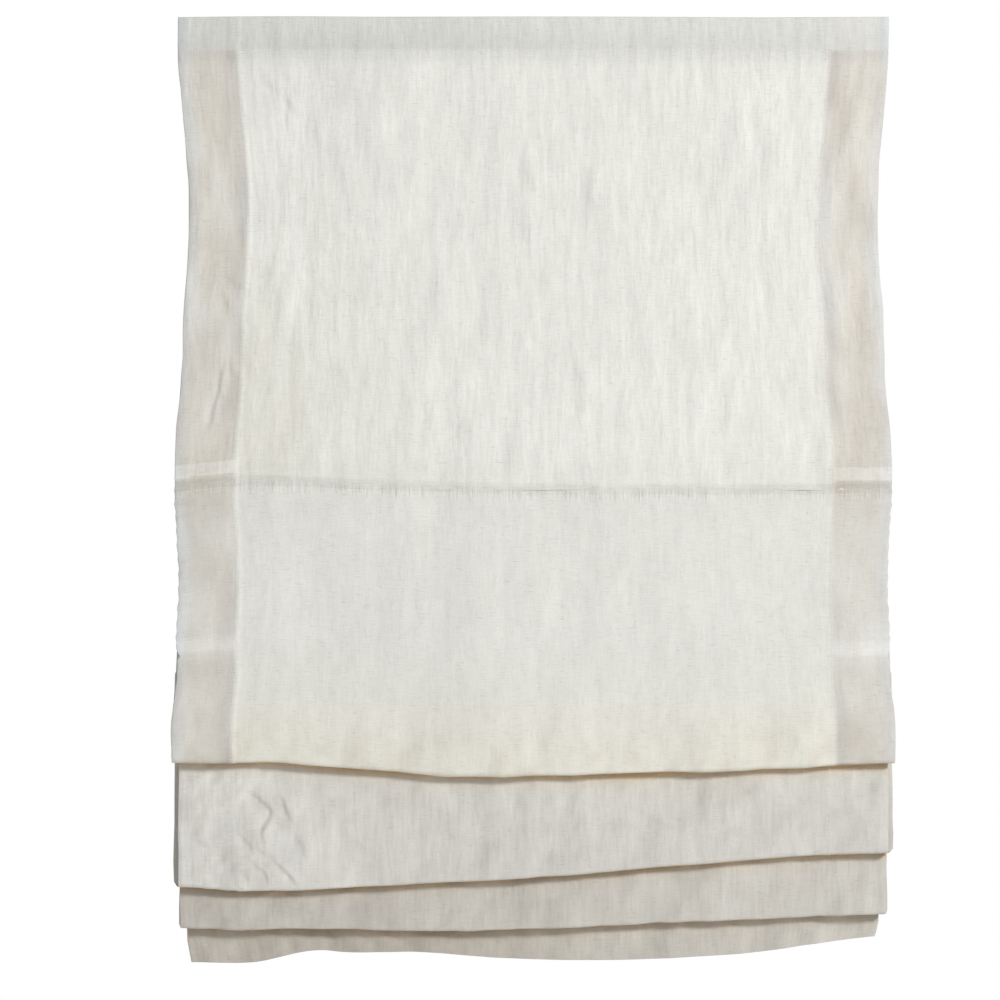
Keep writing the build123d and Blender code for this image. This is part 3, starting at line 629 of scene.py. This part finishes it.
# Painted highlights on the second fold's left part, where it is crumpled.
tinge((1.05, 1.055, 1.06), on_two * bump(across - 0.02, 0.045))
crumpled_highlight = on_two * bump(across - 0.085, 0.055)
tinge((1.1, 1.105, 1.115), crumpled_highlight * (0.55 + 0.65 * rumple(66, across / 0.016, in_depth / 0.016)))
# Painted shade on the dark side of each pressed crease.
tinge((0.91, 0.9, 0.89), np.clip(crease_shade, 0.0, 1.0))
# Painted shade and painted highlights on small dimples over the stack, and painted shade on dimples near the
# first fold's foot.
dimple_shade = np.clip(waves(72, 0.0125, 0.014, 0.4), 0.0, 1.0)
tinge((0.925, 0.918, 0.91), in_stack * dimple_shade)
tinge((1.035, 1.04, 1.045), in_stack * np.clip(waves(73, 0.015, 0.017, -0.3), 0.0, 1.0))
tinge((0.9, 0.885, 0.855), dimple_shade * on_one * step_between(0.205, 0.262, from_crease))
tone = np.clip(tone, 0.0, 1.13)
# How crinkled the weave is, and so how strong the creases' relief and their painted light and shade: most in
# the stack and the flat panel, least under the first rod.
crinkle = np.where(on_panel, 1.0, np.where(row <= row_foot_one + 9, 0.45, 1.15))


def grid_mesh(name, x, y, z, u, v, tint, crinkled=0.6):
    """A quad sheet from arrays of rows and columns, with a map in metres and a tint."""
    rows_count, columns_count = x.shape
    mesh = bpy.data.meshes.new(name)
    points = np.stack((x, y, z), -1).reshape(-1, 3)
    first = (np.arange(rows_count - 1)[:, None] * columns_count + np.arange(columns_count - 1)).ravel()
    quads = np.stack((first, first + columns_count, first + columns_count + 1, first + 1), -1)
    mesh.from_pydata(points.tolist(), [], quads.tolist())
    layer = mesh.uv_layers.new(name="cloth")
    loops = np.empty(len(mesh.loops), dtype=np.int32)
    mesh.loops.foreach_get("vertex_index", loops)
    uv = np.stack((u.ravel()[loops], v.ravel()[loops]), -1)
    layer.data.foreach_set("uv", uv.ravel().astype(np.float32))
    tints = mesh.color_attributes.new("tint", "FLOAT_COLOR", "POINT")
    rgba = np.concatenate((tint.reshape(-1, 3), (crinkled * np.ones(x.shape)).reshape(-1, 1)), -1)
    tints.data.foreach_set("color", rgba.ravel().astype(np.float32))
    mesh.shade_smooth()
    return placed(name, mesh)


wrapped_u = column_x.copy()
wrapped_u[:FIRST_FRONT] = -column_x[:FIRST_FRONT] - 0.001
wrapped_u[-FIRST_FRONT:] = 2 * WIDTH - column_x[-FIRST_FRONT:] + 0.001
wrapped_u = np.ones((ROWS, 1)) * wrapped_u
blind_cloth = grid_mesh("blind_cloth", x, y, TOP - depth, wrapped_u, run, tone, crinkle)


def turned_edge(name, row, way, length, gap):
    """The cloth's end turned over to the back: round its edge, then up or down behind."""
    section = [(0.0, 0.0)] + [(gap / 2 * (1 - math.cos(t)), way * gap / 2 * math.sin(t))
                              for t in np.linspace(0.3, math.pi, 7)]
    section += [(gap, -way * length * k / 6) for k in range(1, 7)]
    section = np.array(section)
    back, down = section[:, :1], section[:, 1:]
    inset = np.clip(-way * down, 0.0, 0.02) * 0.15 * (2 * column_x / WIDTH - 1)
    ripple = 0.0002 * rumple(71, (np.ones((len(section), 1)) * column_x) / 0.02, back * 300.0)
    near = slice(0, 14) if row == 0 else slice(ROWS - 14, ROWS)
    level = depth[row] + down
    beside = np.stack([np.interp(level[:, k], depth[near, k], y[near, k]) for k in range(COLUMNS)], axis=1)
    return grid_mesh(name, x[row] - inset, beside + back + ripple * (back > 0), TOP - level,
                     wrapped_u[:1] * np.ones_like(back), run[row] + way * 0.01 - down,
                     tone[row] * np.ones_like(inset)[..., None])


header_turn = turned_edge("header_turn", 0, -1, 0.0275, 0.0013)
tail_turn = turned_edge("tail_turn", ROWS - 1, 1, 0.02, 0.0012)


def linen(name, base, through, seam):
    """Slubby plain-weave linen on a map in metres; some light passes through it."""
    cloth = Finish(name)
    add, maths, times = cloth.add, cloth.maths, cloth.times
    place = add("UVMap", uv_map="cloth").outputs[0]
    place_parts = add("SeparateXYZ", links={"Vector": place}).outputs

    def streaks(seed, per_metre_u, per_metre_v, detail=2.0, sway=0.0):
        stretch = add("Mapping", {"Scale": (per_metre_u, per_metre_v, 1.0),
                                  "Location": (seed, seed * 0.37, 0.0)}, {"Vector": place})
        return add("TexNoise", {"Scale": 1.0, "Detail": detail, "Roughness": 0.55, "Distortion": sway},
                   {"Vector": stretch.outputs[0]}, noise_dimensions="2D").outputs[0]

    def threads(axis, pitch, seed):
        drift = times(streaks(seed, 90.0, 90.0), 1.6)
        return maths("SINE", times(place_parts[axis], math.tau / pitch, drift))

    def marks(noise, start, full):
        return cloth.spread(noise, 0.0, 1.0, start, full)

    weave = times(threads(0, 0.00078, 3.1), threads(1, 0.00084, 7.7))
    slubs = times(streaks(19.0, 800.0, 52.0), 0.6, streaks(11.0, 48.0, 900.0))
    tint = add("Attribute", attribute_name="tint").outputs
    patches = marks(streaks(59.0, 11.0, 7.0), 0.4, 0.66)
    crinkled = times(tint["Alpha"], times(patches, 0.8, 0.25))
    long_creases = times(streaks(29.0, 66.0, 15.0, 2.5), tint["Alpha"])
    fine_creases = times(streaks(31.0, 150.0, 36.0, 2.0), crinkled)
    soft_dents = streaks(61.0, 95.0, 42.0, 3.0)
    cloud = streaks(37.0, 17.0, 12.0, 3.0)
    weft_dashes = marks(streaks(43.0, 95.0, 1150.0, 1.0), 0.685, 0.735)
    warp_dashes = marks(streaks(47.0, 1150.0, 80.0, 1.0), 0.7, 0.76)
    flecks = marks(streaks(41.0, 420.0, 900.0, 1.0), 0.8, 0.84)
    from_seam = maths("ABSOLUTE", maths("SUBTRACT", place_parts[1], seam))
    near_seam = cloth.spread(from_seam, 0.0, 1.0, 0.0085, 0.0015, interpolation_type="SMOOTHSTEP")
    puckers = times(streaks(53.0, 300.0, 30.0, 2.0, 0.4), near_seam)

    height = times(slubs, 0.9)
    for raised, by in ((weave, 0.08), (long_creases, 10.0), (fine_creases, 3.4), (soft_dents, 4.0),
                       (weft_dashes, 0.35), (puckers, 8.0)):
        height = times(raised, by, height)
    relief = cloth.emboss(height, 0.6, 0.00022)

    # The colour's lightness: slubs, cloud, weave and the dark dashes and flecks are the linen's own tone; the
    # long and fine creases and soft dents are painted light and shade of their relief, lighter on its crests.
    level = 0.775
    for lighter, by in ((slubs, 0.1), (long_creases, 0.15), (fine_creases, 0.05), (cloud, 0.07),
                        (soft_dents, 0.1), (weave, 0.012), (weft_dashes, -0.12), (warp_dashes, -0.055),
                        (flecks, -0.22)):
        level = times(lighter, by, level)
    tinted = add("Mix", {0: 1.0, 6: (*base, 1.0)}, {7: tint["Color"]}, data_type="RGBA", blend_type="MULTIPLY")
    shaded = add("VectorMath", links={0: tinted.outputs[2], "Scale": level}, operation="SCALE").outputs[0]
    cloth.join(cloth.shader, {"Base Color": shaded})
    cloth.set(Roughness=0.86, Specular_IOR_Level=0.18, Sheen_Weight=0.12, Sheen_Roughness=0.5)
    passing = add("BsdfTranslucent", links={"Color": shaded, "Normal": relief})
    both = add("MixShader", {"Fac": through}, {1: cloth.shader.outputs[0], 2: passing.outputs[0]})
    cloth.join(cloth.tree.nodes["Material Output"], {"Surface": both.outputs[0]})
    return cloth.material


SEAM_BELOW_CREASE = 0.0098
crease_run = run[crease_row, 0]
off_white_linen = linen("off_white_linen", (0.712, 0.712, 0.672), 0.02, crease_run + SEAM_BELOW_CREASE)


def made_of(part, material, body="frame"):
    """Make a part in a material, fixed to a body."""
    part.data.materials.append(material)
    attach(part, body)


def of_linen(part):
    """Make one part of the cloth."""
    made_of(part, off_white_linen)


for part in (blind_cloth, header_turn, tail_turn):
    of_linen(part)
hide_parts("cloth_panel")

# --------------------------------------------
# The rod pockets: narrow sleeves of the same linen on the cloth's back. The
# first is a strip sewn down along both edges; the others stand on the folds.


def rod_pocket(name, section, seed):
    """A sleeve drawn across the blind along a section in (y, depth)."""
    section = np.array(section)
    reach = np.linspace(POCKET_END, WIDTH - POCKET_END, 109)
    rows_across = np.ones((len(section), 1)) * reach
    down = section[:, 1:] + 0.00035 * rumple(seed, rows_across / 0.03, section[:, 1:] / 0.01)
    out = section[:, :1] + 0.00022 * rumple(seed + 1, rows_across / 0.016, section[:, 1:] / 0.006)
    length = np.concatenate(([0.0], np.cumsum(np.linalg.norm(np.diff(section, axis=0), axis=1))))
    of_linen(grid_mesh(name, LEFT + rows_across, out, TOP - down, rows_across,
                       length[:, None] + seed * 0.05 + 0.0 * rows_across,
                       np.ones((*rows_across.shape, 3)) * (0.93, 0.925, 0.915)))


POCKET_R = 0.0029
POCKET_END = 0.0035  # from the cloth's side edge
flat_back = PANEL_Y + 0.0007
depth_one = rods[0][1]
# the strip's flat edge, as (distance from the rod, how far back)
FLAT_EDGE = ((0.0125, 0.0), (0.0118, 0.0003), (0.008, 0.0004), (0.0055, 0.0012))
strip = [(flat_back + back, depth_one - down) for down, back in FLAT_EDGE]
strip += [(ROD_Y + POCKET_R * math.cos(t), depth_one + POCKET_R * 1.15 * math.sin(t))
          for t in np.radians(np.linspace(-95, 95, 13))]
strip += [(flat_back + back, depth_one + down) for down, back in reversed(FLAT_EDGE)]
rod_pocket("rod_pocket_1", strip, 81)
for number, (_, rod_depth) in enumerate(rods[1:], start=2):
    sleeve = [(in_y - 0.0006, rod_depth + 0.0068), (in_y - 0.0007, rod_depth + 0.0048)]
    sleeve += [(ROD_Y - POCKET_R * math.cos(t), rod_depth - POCKET_R * math.sin(t))
               for t in np.radians(np.linspace(-38, 218, 21))]
    sleeve += [(out_y + 0.0007, rod_depth + 0.0048), (out_y + 0.0006, rod_depth + 0.0068)]
    rod_pocket(f"rod_pocket_{number}", sleeve, 81 + 2 * number)

# --------------------------------------------
# The sewing: lockstitch in fine linen thread, about eight to the inch, along
# the header, the first rod's pocket and the side hems.

STITCH, STITCH_L = 0.003, 0.0023  # from one stitch to the next, and what shows of it
THREAD_R = 0.00021
SEAM_IN = 0.0022  # how far a hem's seam lies inside its edge
surface = np.stack((x, y, TOP - depth), -1)
facing = np.cross(np.gradient(surface, axis=1), np.gradient(surface, axis=0))
facing = unit(facing) * np.where((unit(facing)[40, COLUMNS // 2, 1] < 0), 1.0, -1.0)


def read(field, at_row, at_column):
    """Values of a field of the cloth's grid at places between its rows and columns."""
    r, c = np.clip(at_row, 0, ROWS - 1.001), np.clip(at_column, 0, COLUMNS - 1.001)
    i, j = r.astype(int), c.astype(int)
    fr, fc = (r - i)[:, None], (c - j)[:, None]
    return ((field[i, j] * (1 - fc) + field[i, j + 1] * fc) * (1 - fr)
            + (field[i + 1, j] * (1 - fc) + field[i + 1, j + 1] * fc) * fr)


def sew(lines):
    """Every stitch of several seams; a seam is its places as (rows, columns) on the grid."""
    ring = np.linspace(0.0, 2 * np.pi, 6)[:-1]
    shape = [(-0.5, 0.25, -0.6), (-0.3, 0.9, 0.35), (0.0, 1.05, 0.6), (0.3, 0.9, 0.35), (0.5, 0.25, -0.6)]
    points, faces = [], []
    for at_row, at_column in lines:
        centre = read(surface, at_row, at_column)
        normal = unit(read(facing, at_row, at_column))
        ahead = unit(np.gradient(centre, axis=0))
        sideways = np.cross(normal, ahead)
        for k in range(len(centre)):
            base = len(points)
            for t, r, up in shape:
                middle = centre[k] + ahead[k] * t * STITCH_L + normal[k] * THREAD_R * up
                for angle in ring:
                    points.append(middle + THREAD_R * r * (math.cos(angle) * sideways[k]
                                                          + math.sin(angle) * normal[k]))
            for a in range(len(shape) - 1):
                for b in range(5):
                    faces.append((base + 5 * a + b, base + 5 * a + (b + 1) % 5,
                                  base + 5 * a + 5 + (b + 1) % 5, base + 5 * a + 5 + b))
            faces.append(tuple(base + b for b in range(4, -1, -1)))
            faces.append(tuple(base + 5 * (len(shape) - 1) + b for b in range(5)))
    return points, faces


along_width = np.arange(0.003, WIDTH - 0.003, STITCH)
on_column = FIRST_FRONT + np.interp(along_width, front_x, np.arange(len(front_x)))


def row_at_depth(where):
    return np.array([np.interp(where, in_depth[:crease_row, int(c)], np.arange(crease_row))
                     for c in on_column])


def row_at_run(where):
    return np.interp(where, run[:, 0], np.arange(ROWS))


foot_one_run = run[row_foot_one, 0]
seams = [(row_at_depth(0.0026), on_column), (row_at_depth(HEADER - 0.0016), on_column),
         (row_at_run(crease_run + SEAM_BELOW_CREASE) + 0.0 * on_column, on_column)]
down_hem = np.arange(HEADER + 0.003, foot_one_run - 0.003, STITCH)
run_two = run[row_two + 8, 0], run[row_foot_two, 0] - 0.002
down_fold = np.arange(run_two[1] - 0.115, run_two[1], STITCH)
for line in (down_hem, down_fold):
    for place in (SIDE_HEM - SEAM_IN, WIDTH - SIDE_HEM + SEAM_IN):
        hem_column = FIRST_FRONT + np.interp(place, front_x, np.arange(len(front_x)))
        seams.append((row_at_run(line), hem_column + 0.0 * line))
thread_points, thread_faces = sew(seams)
sewing_mesh = bpy.data.meshes.new("machine_stitches")
sewing_mesh.from_pydata([tuple(point) for point in thread_points], [], thread_faces)
sewing_mesh.shade_smooth()
machine_stitches = placed("machine_stitches", sewing_mesh)


def spun_thread(name, colour):
    """Spun thread: fine twist lines and a dull, slightly fuzzy surface."""
    thread = Finish(name)
    place = thread.add("TexCoord").outputs["Object"]
    twist = thread.add("TexWave", {"Scale": 1400.0, "Distortion": 1.5, "Detail": 1.0}, {"Vector": place},
                       bands_direction="DIAGONAL").outputs["Fac"]
    thread.dye(colour, thread.spread(twist, 0.82, 1.04, 0.0, 1.0))
    thread.emboss(twist, 0.5, 0.00005)
    thread.set(Roughness=0.7, Sheen_Weight=0.2)
    return thread.material


linen_thread = spun_thread("linen_thread", (0.84, 0.83, 0.79))
made_of(machine_stitches, linen_thread)

# --------------------------------------------
# The tacks: each ring and each adjuster is sewn to its pocket by hand with a
# few turns of doubled thread.


def tube(name, lines, radius, sides):
    """Round tubes along lines of points (closed or open), with a map: round, and metres along."""
    points, faces, maps = [], [], []
    for line, closed in lines:
        line = np.array(line)
        ahead = unit(np.roll(line, -1, 0) - np.roll(line, 1, 0) if closed else np.gradient(line, axis=0))
        up = np.where(np.abs(ahead[:, :1]) > 0.9, (0.0, 0.0, 1.0), (1.0, 0.0, 0.0))
        first = unit(np.cross(ahead, up))
        second = np.cross(ahead, first)
        length = np.concatenate(([0.0], np.cumsum(np.linalg.norm(np.diff(line, axis=0), axis=1))))
        base, count, gap = len(points), len(line), length[1]
        for k in range(count):
            for facet in range(sides):
                angle = 2 * math.pi * facet / sides
                outward_here = math.cos(angle) * first[k] + math.sin(angle) * second[k]
                points.append(tuple(line[k] + radius * outward_here))
        for k in range(count if closed else count - 1):
            here, after = base + k * sides, base + (k + 1) % count * sides
            for facet in range(sides):
                turn = (facet + 1) % sides
                faces.append((here + facet, here + turn, after + turn, after + facet))
                maps.append([(u / sides, v) for u, v in (
                    (facet, length[k]), (facet + 1, length[k]),
                    (facet + 1, length[k] + gap), (facet, length[k] + gap))])
        if not closed:
            for end, order in ((0, range(sides - 1, -1, -1)), (count - 1, range(sides))):
                faces.append(tuple(base + end * sides + facet for facet in order))
                maps.append([(facet / sides, length[end]) for facet in order])
    mesh = bpy.data.meshes.new(name)
    mesh.from_pydata(points, [], faces)
    layer = mesh.uv_layers.new(name="cord")
    layer.data.foreach_set("uv", np.array([value for face in maps for pair in face for value in pair],
                                          dtype=np.float32))
    mesh.shade_smooth()
    return placed(name, mesh)


SIDES = ("left", "centre", "right")
TACK_TURNS, TACK_PITCH, TACK_THREAD_R = 5, 0.00042, 0.00019
turns = []
shake = np.random.default_rng(91)
for side in SIDES:
    for number in (1, 2, 3, 4):
        holder = f"cord_ring_{side}_{number}" if number < 4 else f"cord_adjuster_{side}"
        ring_low, ring_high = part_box(holder)
        middle = Vector(((ring_low[0] + ring_high[0]) / 2, ring_low[1] + 0.00078,
                         (ring_low[2] + ring_high[2]) / 2))
        for k in range(TACK_TURNS):
            lean = shake.uniform(-0.25, 0.25)
            offset = (k - 2) * TACK_PITCH
            loop = [(middle.x + offset + lean * 0.0009 * math.sin(t), middle.y + 0.00102 * math.cos(t),
                     middle.z + 0.00108 * math.sin(t)) for t in np.linspace(0, 2 * math.pi, 17)[:-1]]
            turns.append((loop, True))
thread_tacks = tube("thread_tacks", turns, TACK_THREAD_R, 6)
made_of(thread_tacks, linen_thread)
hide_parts("ring_tacks")

# --------------------------------------------
# The lift cords: braided polyester, 1.4 mm. Each leaves its spool, drops
# through the nozzle and three rings, and ends inside its adjuster.

PLAIT_PITCH = 0.0011  # between one crossing of the strands and the next


def braid(name, mapped):
    """Braided cord: two sets of strands that cross, on a map or on the cord's own axis."""
    cord = Finish(name)
    add, maths, times = cord.add, cord.maths, cord.times
    if mapped:
        place = add("UVMap", uv_map="cord").outputs[0]
        around, on_length, _ = add("SeparateXYZ", links={"Vector": place}).outputs
    else:
        place = add("TexCoord").outputs["Object"]
        here_x, here_y, on_length = add("SeparateXYZ", links={"Vector": place}).outputs
        around = times(maths("ARCTAN2", here_x, here_y), 1 / math.tau)

    def strand(way):
        climb = times(on_length, math.tau / PLAIT_PITCH)
        return maths("SINE", maths("ADD", times(around, way * 4 * math.tau), climb))

    crossed = maths("MAXIMUM", strand(1), strand(-1))
    cord.dye_between((0.62, 0.61, 0.58), (0.9, 0.9, 0.87), crossed)
    cord.emboss(crossed, 0.7, 0.00012)
    cord.set(Roughness=0.55, Sheen_Weight=0.15)
    return cord.material


CORD_D = 0.0014
WOUND_PITCH = 0.0015
straight_braid, wound_braid = braid("lift_cord_braid", False), braid("wound_cord_braid", True)
for side in SIDES:
    cord_low, cord_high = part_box(f"lift_cord_{side}")
    cord_x, cord_y = (cord_low[0] + cord_high[0]) / 2, (cord_low[1] + cord_high[1]) / 2
    line = bpy.data.curves.new(f"braided_lift_cord_{side}", "CURVE")
    line.dimensions, line.use_fill_caps = "3D", True
    line.bevel_depth, line.bevel_resolution = CORD_D / 2, 5
    spline = line.splines.new("NURBS")
    ends = (cord_high[2], cord_high[2] - 0.02, cord_low[2] + 0.02, cord_low[2])
    spline.points.add(len(ends) - 1)
    for point, z in zip(spline.points, ends):
        point.co = (0.0, 0.0, z, 1.0)
    spline.order_u, spline.use_endpoint_u = 3, True
    lift_cord = placed(line.name, line)
    lift_cord.location = (cord_x, cord_y, 0.0)
    made_of(lift_cord, straight_braid)
    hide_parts(f"lift_cord_{side}")

    # the turns already wound on this cord's spool
    wound_low, wound_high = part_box(f"cord_winding_{side}")
    middle_z = (wound_low[2] + wound_high[2]) / 2
    wound_r = (wound_high[2] - wound_low[2]) / 2 - CORD_D / 2
    wound_length = wound_high[0] - wound_low[0] - CORD_D
    turn_count = round(wound_length / WOUND_PITCH)
    steps = np.linspace(0.0, 1.0, 28 * turn_count + 1)
    spin = 2 * math.pi * turn_count * steps
    helix = np.stack((wound_high[0] - CORD_D / 2 - wound_length * steps,
                      wound_r * np.cos(spin + math.pi), middle_z + wound_r * np.sin(spin + math.pi)), -1)
    wound_cord = tube(f"wound_cord_{side}", [(helix, False)], CORD_D / 2, 8)
    made_of(wound_cord, wound_braid, "shaft")
    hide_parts(f"cord_winding_{side}")

# --------------------------------------------
# The rings and cord adjusters: small mouldings in milky polypropylene.


def dress(material, *nodes):
    """Give built pieces a material in place of their plain one."""
    for name in nodes:
        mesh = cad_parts[name].data
        mesh.materials.clear()
        mesh.materials.append(material)


def moulded(name, colour, rough, grain=0.000035, cloud=0.05, through=0.0):
    """Moulded plastic: a fine spark-eroded grain, faint flow marks and rubbed gloss."""
    plastic = Finish(name)
    fine = plastic.noise(2600.0, 2.0)
    flow = plastic.noise(70.0, 3.0, Distortion=0.6)
    plastic.dye(colour, plastic.spread(flow, 1 - cloud, 1 + cloud))
    plastic.polish(flow, rough - 0.07, rough + 0.07)
    plastic.emboss(fine, 0.5, grain)
    if through:
        plastic.set(Subsurface_Weight=through, Subsurface_Radius=(0.004, 0.004, 0.0035), Subsurface_Scale=1.0)
    return plastic.material


dress(moulded("milky_polypropylene", (0.86, 0.875, 0.86), 0.28, 0.00001, 0.03, 0.35),
      *[f"cord_ring_{side}_{number}" for side in SIDES for number in (1, 2, 3)],
      *[f"cord_adjuster_{side}" for side in SIDES])

# --------------------------------------------
# The support rods: drawn glass-fibre rods, loose in the pockets, with the
# fibres' streaks along them.

glass_fibre = Finish("glass_fibre_rod")
fibres = glass_fibre.noise((14.0, 2200.0, 2200.0), 3.0)
glass_fibre.dye_between((0.66, 0.65, 0.58), (0.86, 0.86, 0.8), fibres, 0.32, 0.7)
glass_fibre.emboss(fibres, 0.4, 0.00004)
glass_fibre.set(Roughness=0.38)
dress(glass_fibre.material, *[f"support_rod_{number}" for number in (1, 2, 3, 4)])

# --------------------------------------------
# The head rail: extruded aluminium, sawn to length, in a white powder coat
# with a fine orange peel.

powder_coat = Finish("white_powder_coat")
peel = powder_coat.noise(520.0, 2.0)
die_lines = powder_coat.noise((3.0, 240.0, 240.0), 2.0)
powder_coat.dye((0.86, 0.86, 0.85), powder_coat.spread(die_lines, 0.965, 1.02))
powder_coat.polish(peel, 0.32, 0.46)
powder_coat.emboss(peel, 0.35, 0.00006)
dress(powder_coat.material, "head_rail")

# --------------------------------------------
# The hook tape on the rail's face and the loop tape on the header's back,
# woven nylon, pressed together to hold the cloth up.


def nap(name, colour, scale, deep, hooked):
    """Hook-and-loop tape: rows of small hooks, or a tangle of soft loops."""
    tape = Finish(name)
    if hooked:
        place = tape.add("TexCoord").outputs["Object"]
        pile = tape.add("TexVoronoi", {"Scale": scale, "Randomness": 0.25}, {"Vector": place}).outputs[0]
    else:
        pile = tape.noise(scale, 5.0, Roughness=0.75, Distortion=1.2)
    shade = tape.spread(pile, 1.06, 0.72, 0.1, 0.7)
    tape.dye(colour, shade)
    tape.emboss(shade, 0.9, deep)
    tape.set(Roughness=0.5 if hooked else 0.85, Sheen_Weight=0.0 if hooked else 0.3)
    return tape.material


dress(nap("hook_pile", (0.84, 0.84, 0.82), 780.0, 0.0006, True), "hook_tape")
dress(nap("loop_pile", (0.86, 0.855, 0.835), 1100.0, 0.0004, False), "loop_tape")

# --------------------------------------------
# The rail's mouldings: end cap, drive housing and cover, cradles, and the cams
# of the brackets, all in white acetal.

dress(moulded("white_acetal", (0.85, 0.85, 0.835), 0.4),
      "rail_end_cap", "drive_housing", "drive_cover", "bracket_cam_left", "bracket_cam_right",
      *[f"spool_cradle_{side}" for side in SIDES])

# --------------------------------------------
# The turning mouldings: spools, bush and chain wheel, in grey nylon, pushed
# on to the square shaft.

dress(moulded("grey_nylon", (0.46, 0.47, 0.475), 0.46, 0.00005, 0.06),
      "shaft_bush", "chain_wheel", *[f"cord_spool_{side}" for side in SIDES])

# --------------------------------------------
# The drive shaft: a square bar of drawn steel; the brake spring: round steel
# wire, close wound.


def drawn_steel(name, colour, scale, rough):
    """Drawn or wound steel, with its marks stretched along the given scale."""
    steel = Finish(name)
    marks = steel.noise(scale, 3.0)
    steel.dye(colour, steel.spread(marks, 0.84, 1.08))
    steel.polish(marks, rough - 0.08, rough + 0.1)
    steel.emboss(marks, 0.5, 0.00004)
    steel.set(Metallic=1.0)
    return steel.material


dress(drawn_steel("bright_drawn_steel", (0.56, 0.56, 0.57), (12.0, 1800.0, 1800.0), 0.32), "drive_shaft")
dress(drawn_steel("spring_wire", (0.36, 0.36, 0.38), (1200.0, 40.0, 40.0), 0.38), "brake_spring")

# --------------------------------------------
# The bracket plates, rivets and cover screws: pressed steel, zinc plated, so
# the surface shows soft cloudy spangle.

zinc = Finish("zinc_plate")
spangle = zinc.add("TexVoronoi", {"Scale": 420.0}, {"Vector": zinc.add("TexCoord").outputs["Object"]})
cloudy = zinc.noise(160.0, 3.0)
zinc.dye_between((0.5, 0.51, 0.53), (0.68, 0.69, 0.7), cloudy, 0.3, 0.7)
zinc.polish(spangle.outputs["Color"], 0.28, 0.46, 0.0, 1.0)
zinc.emboss(cloudy, 0.3, 0.00003)
zinc.set(Metallic=1.0)
dress(zinc.material, "cover_screws", "bracket_plate_left", "bracket_plate_right", "cam_pivot_left",
      "cam_pivot_right")
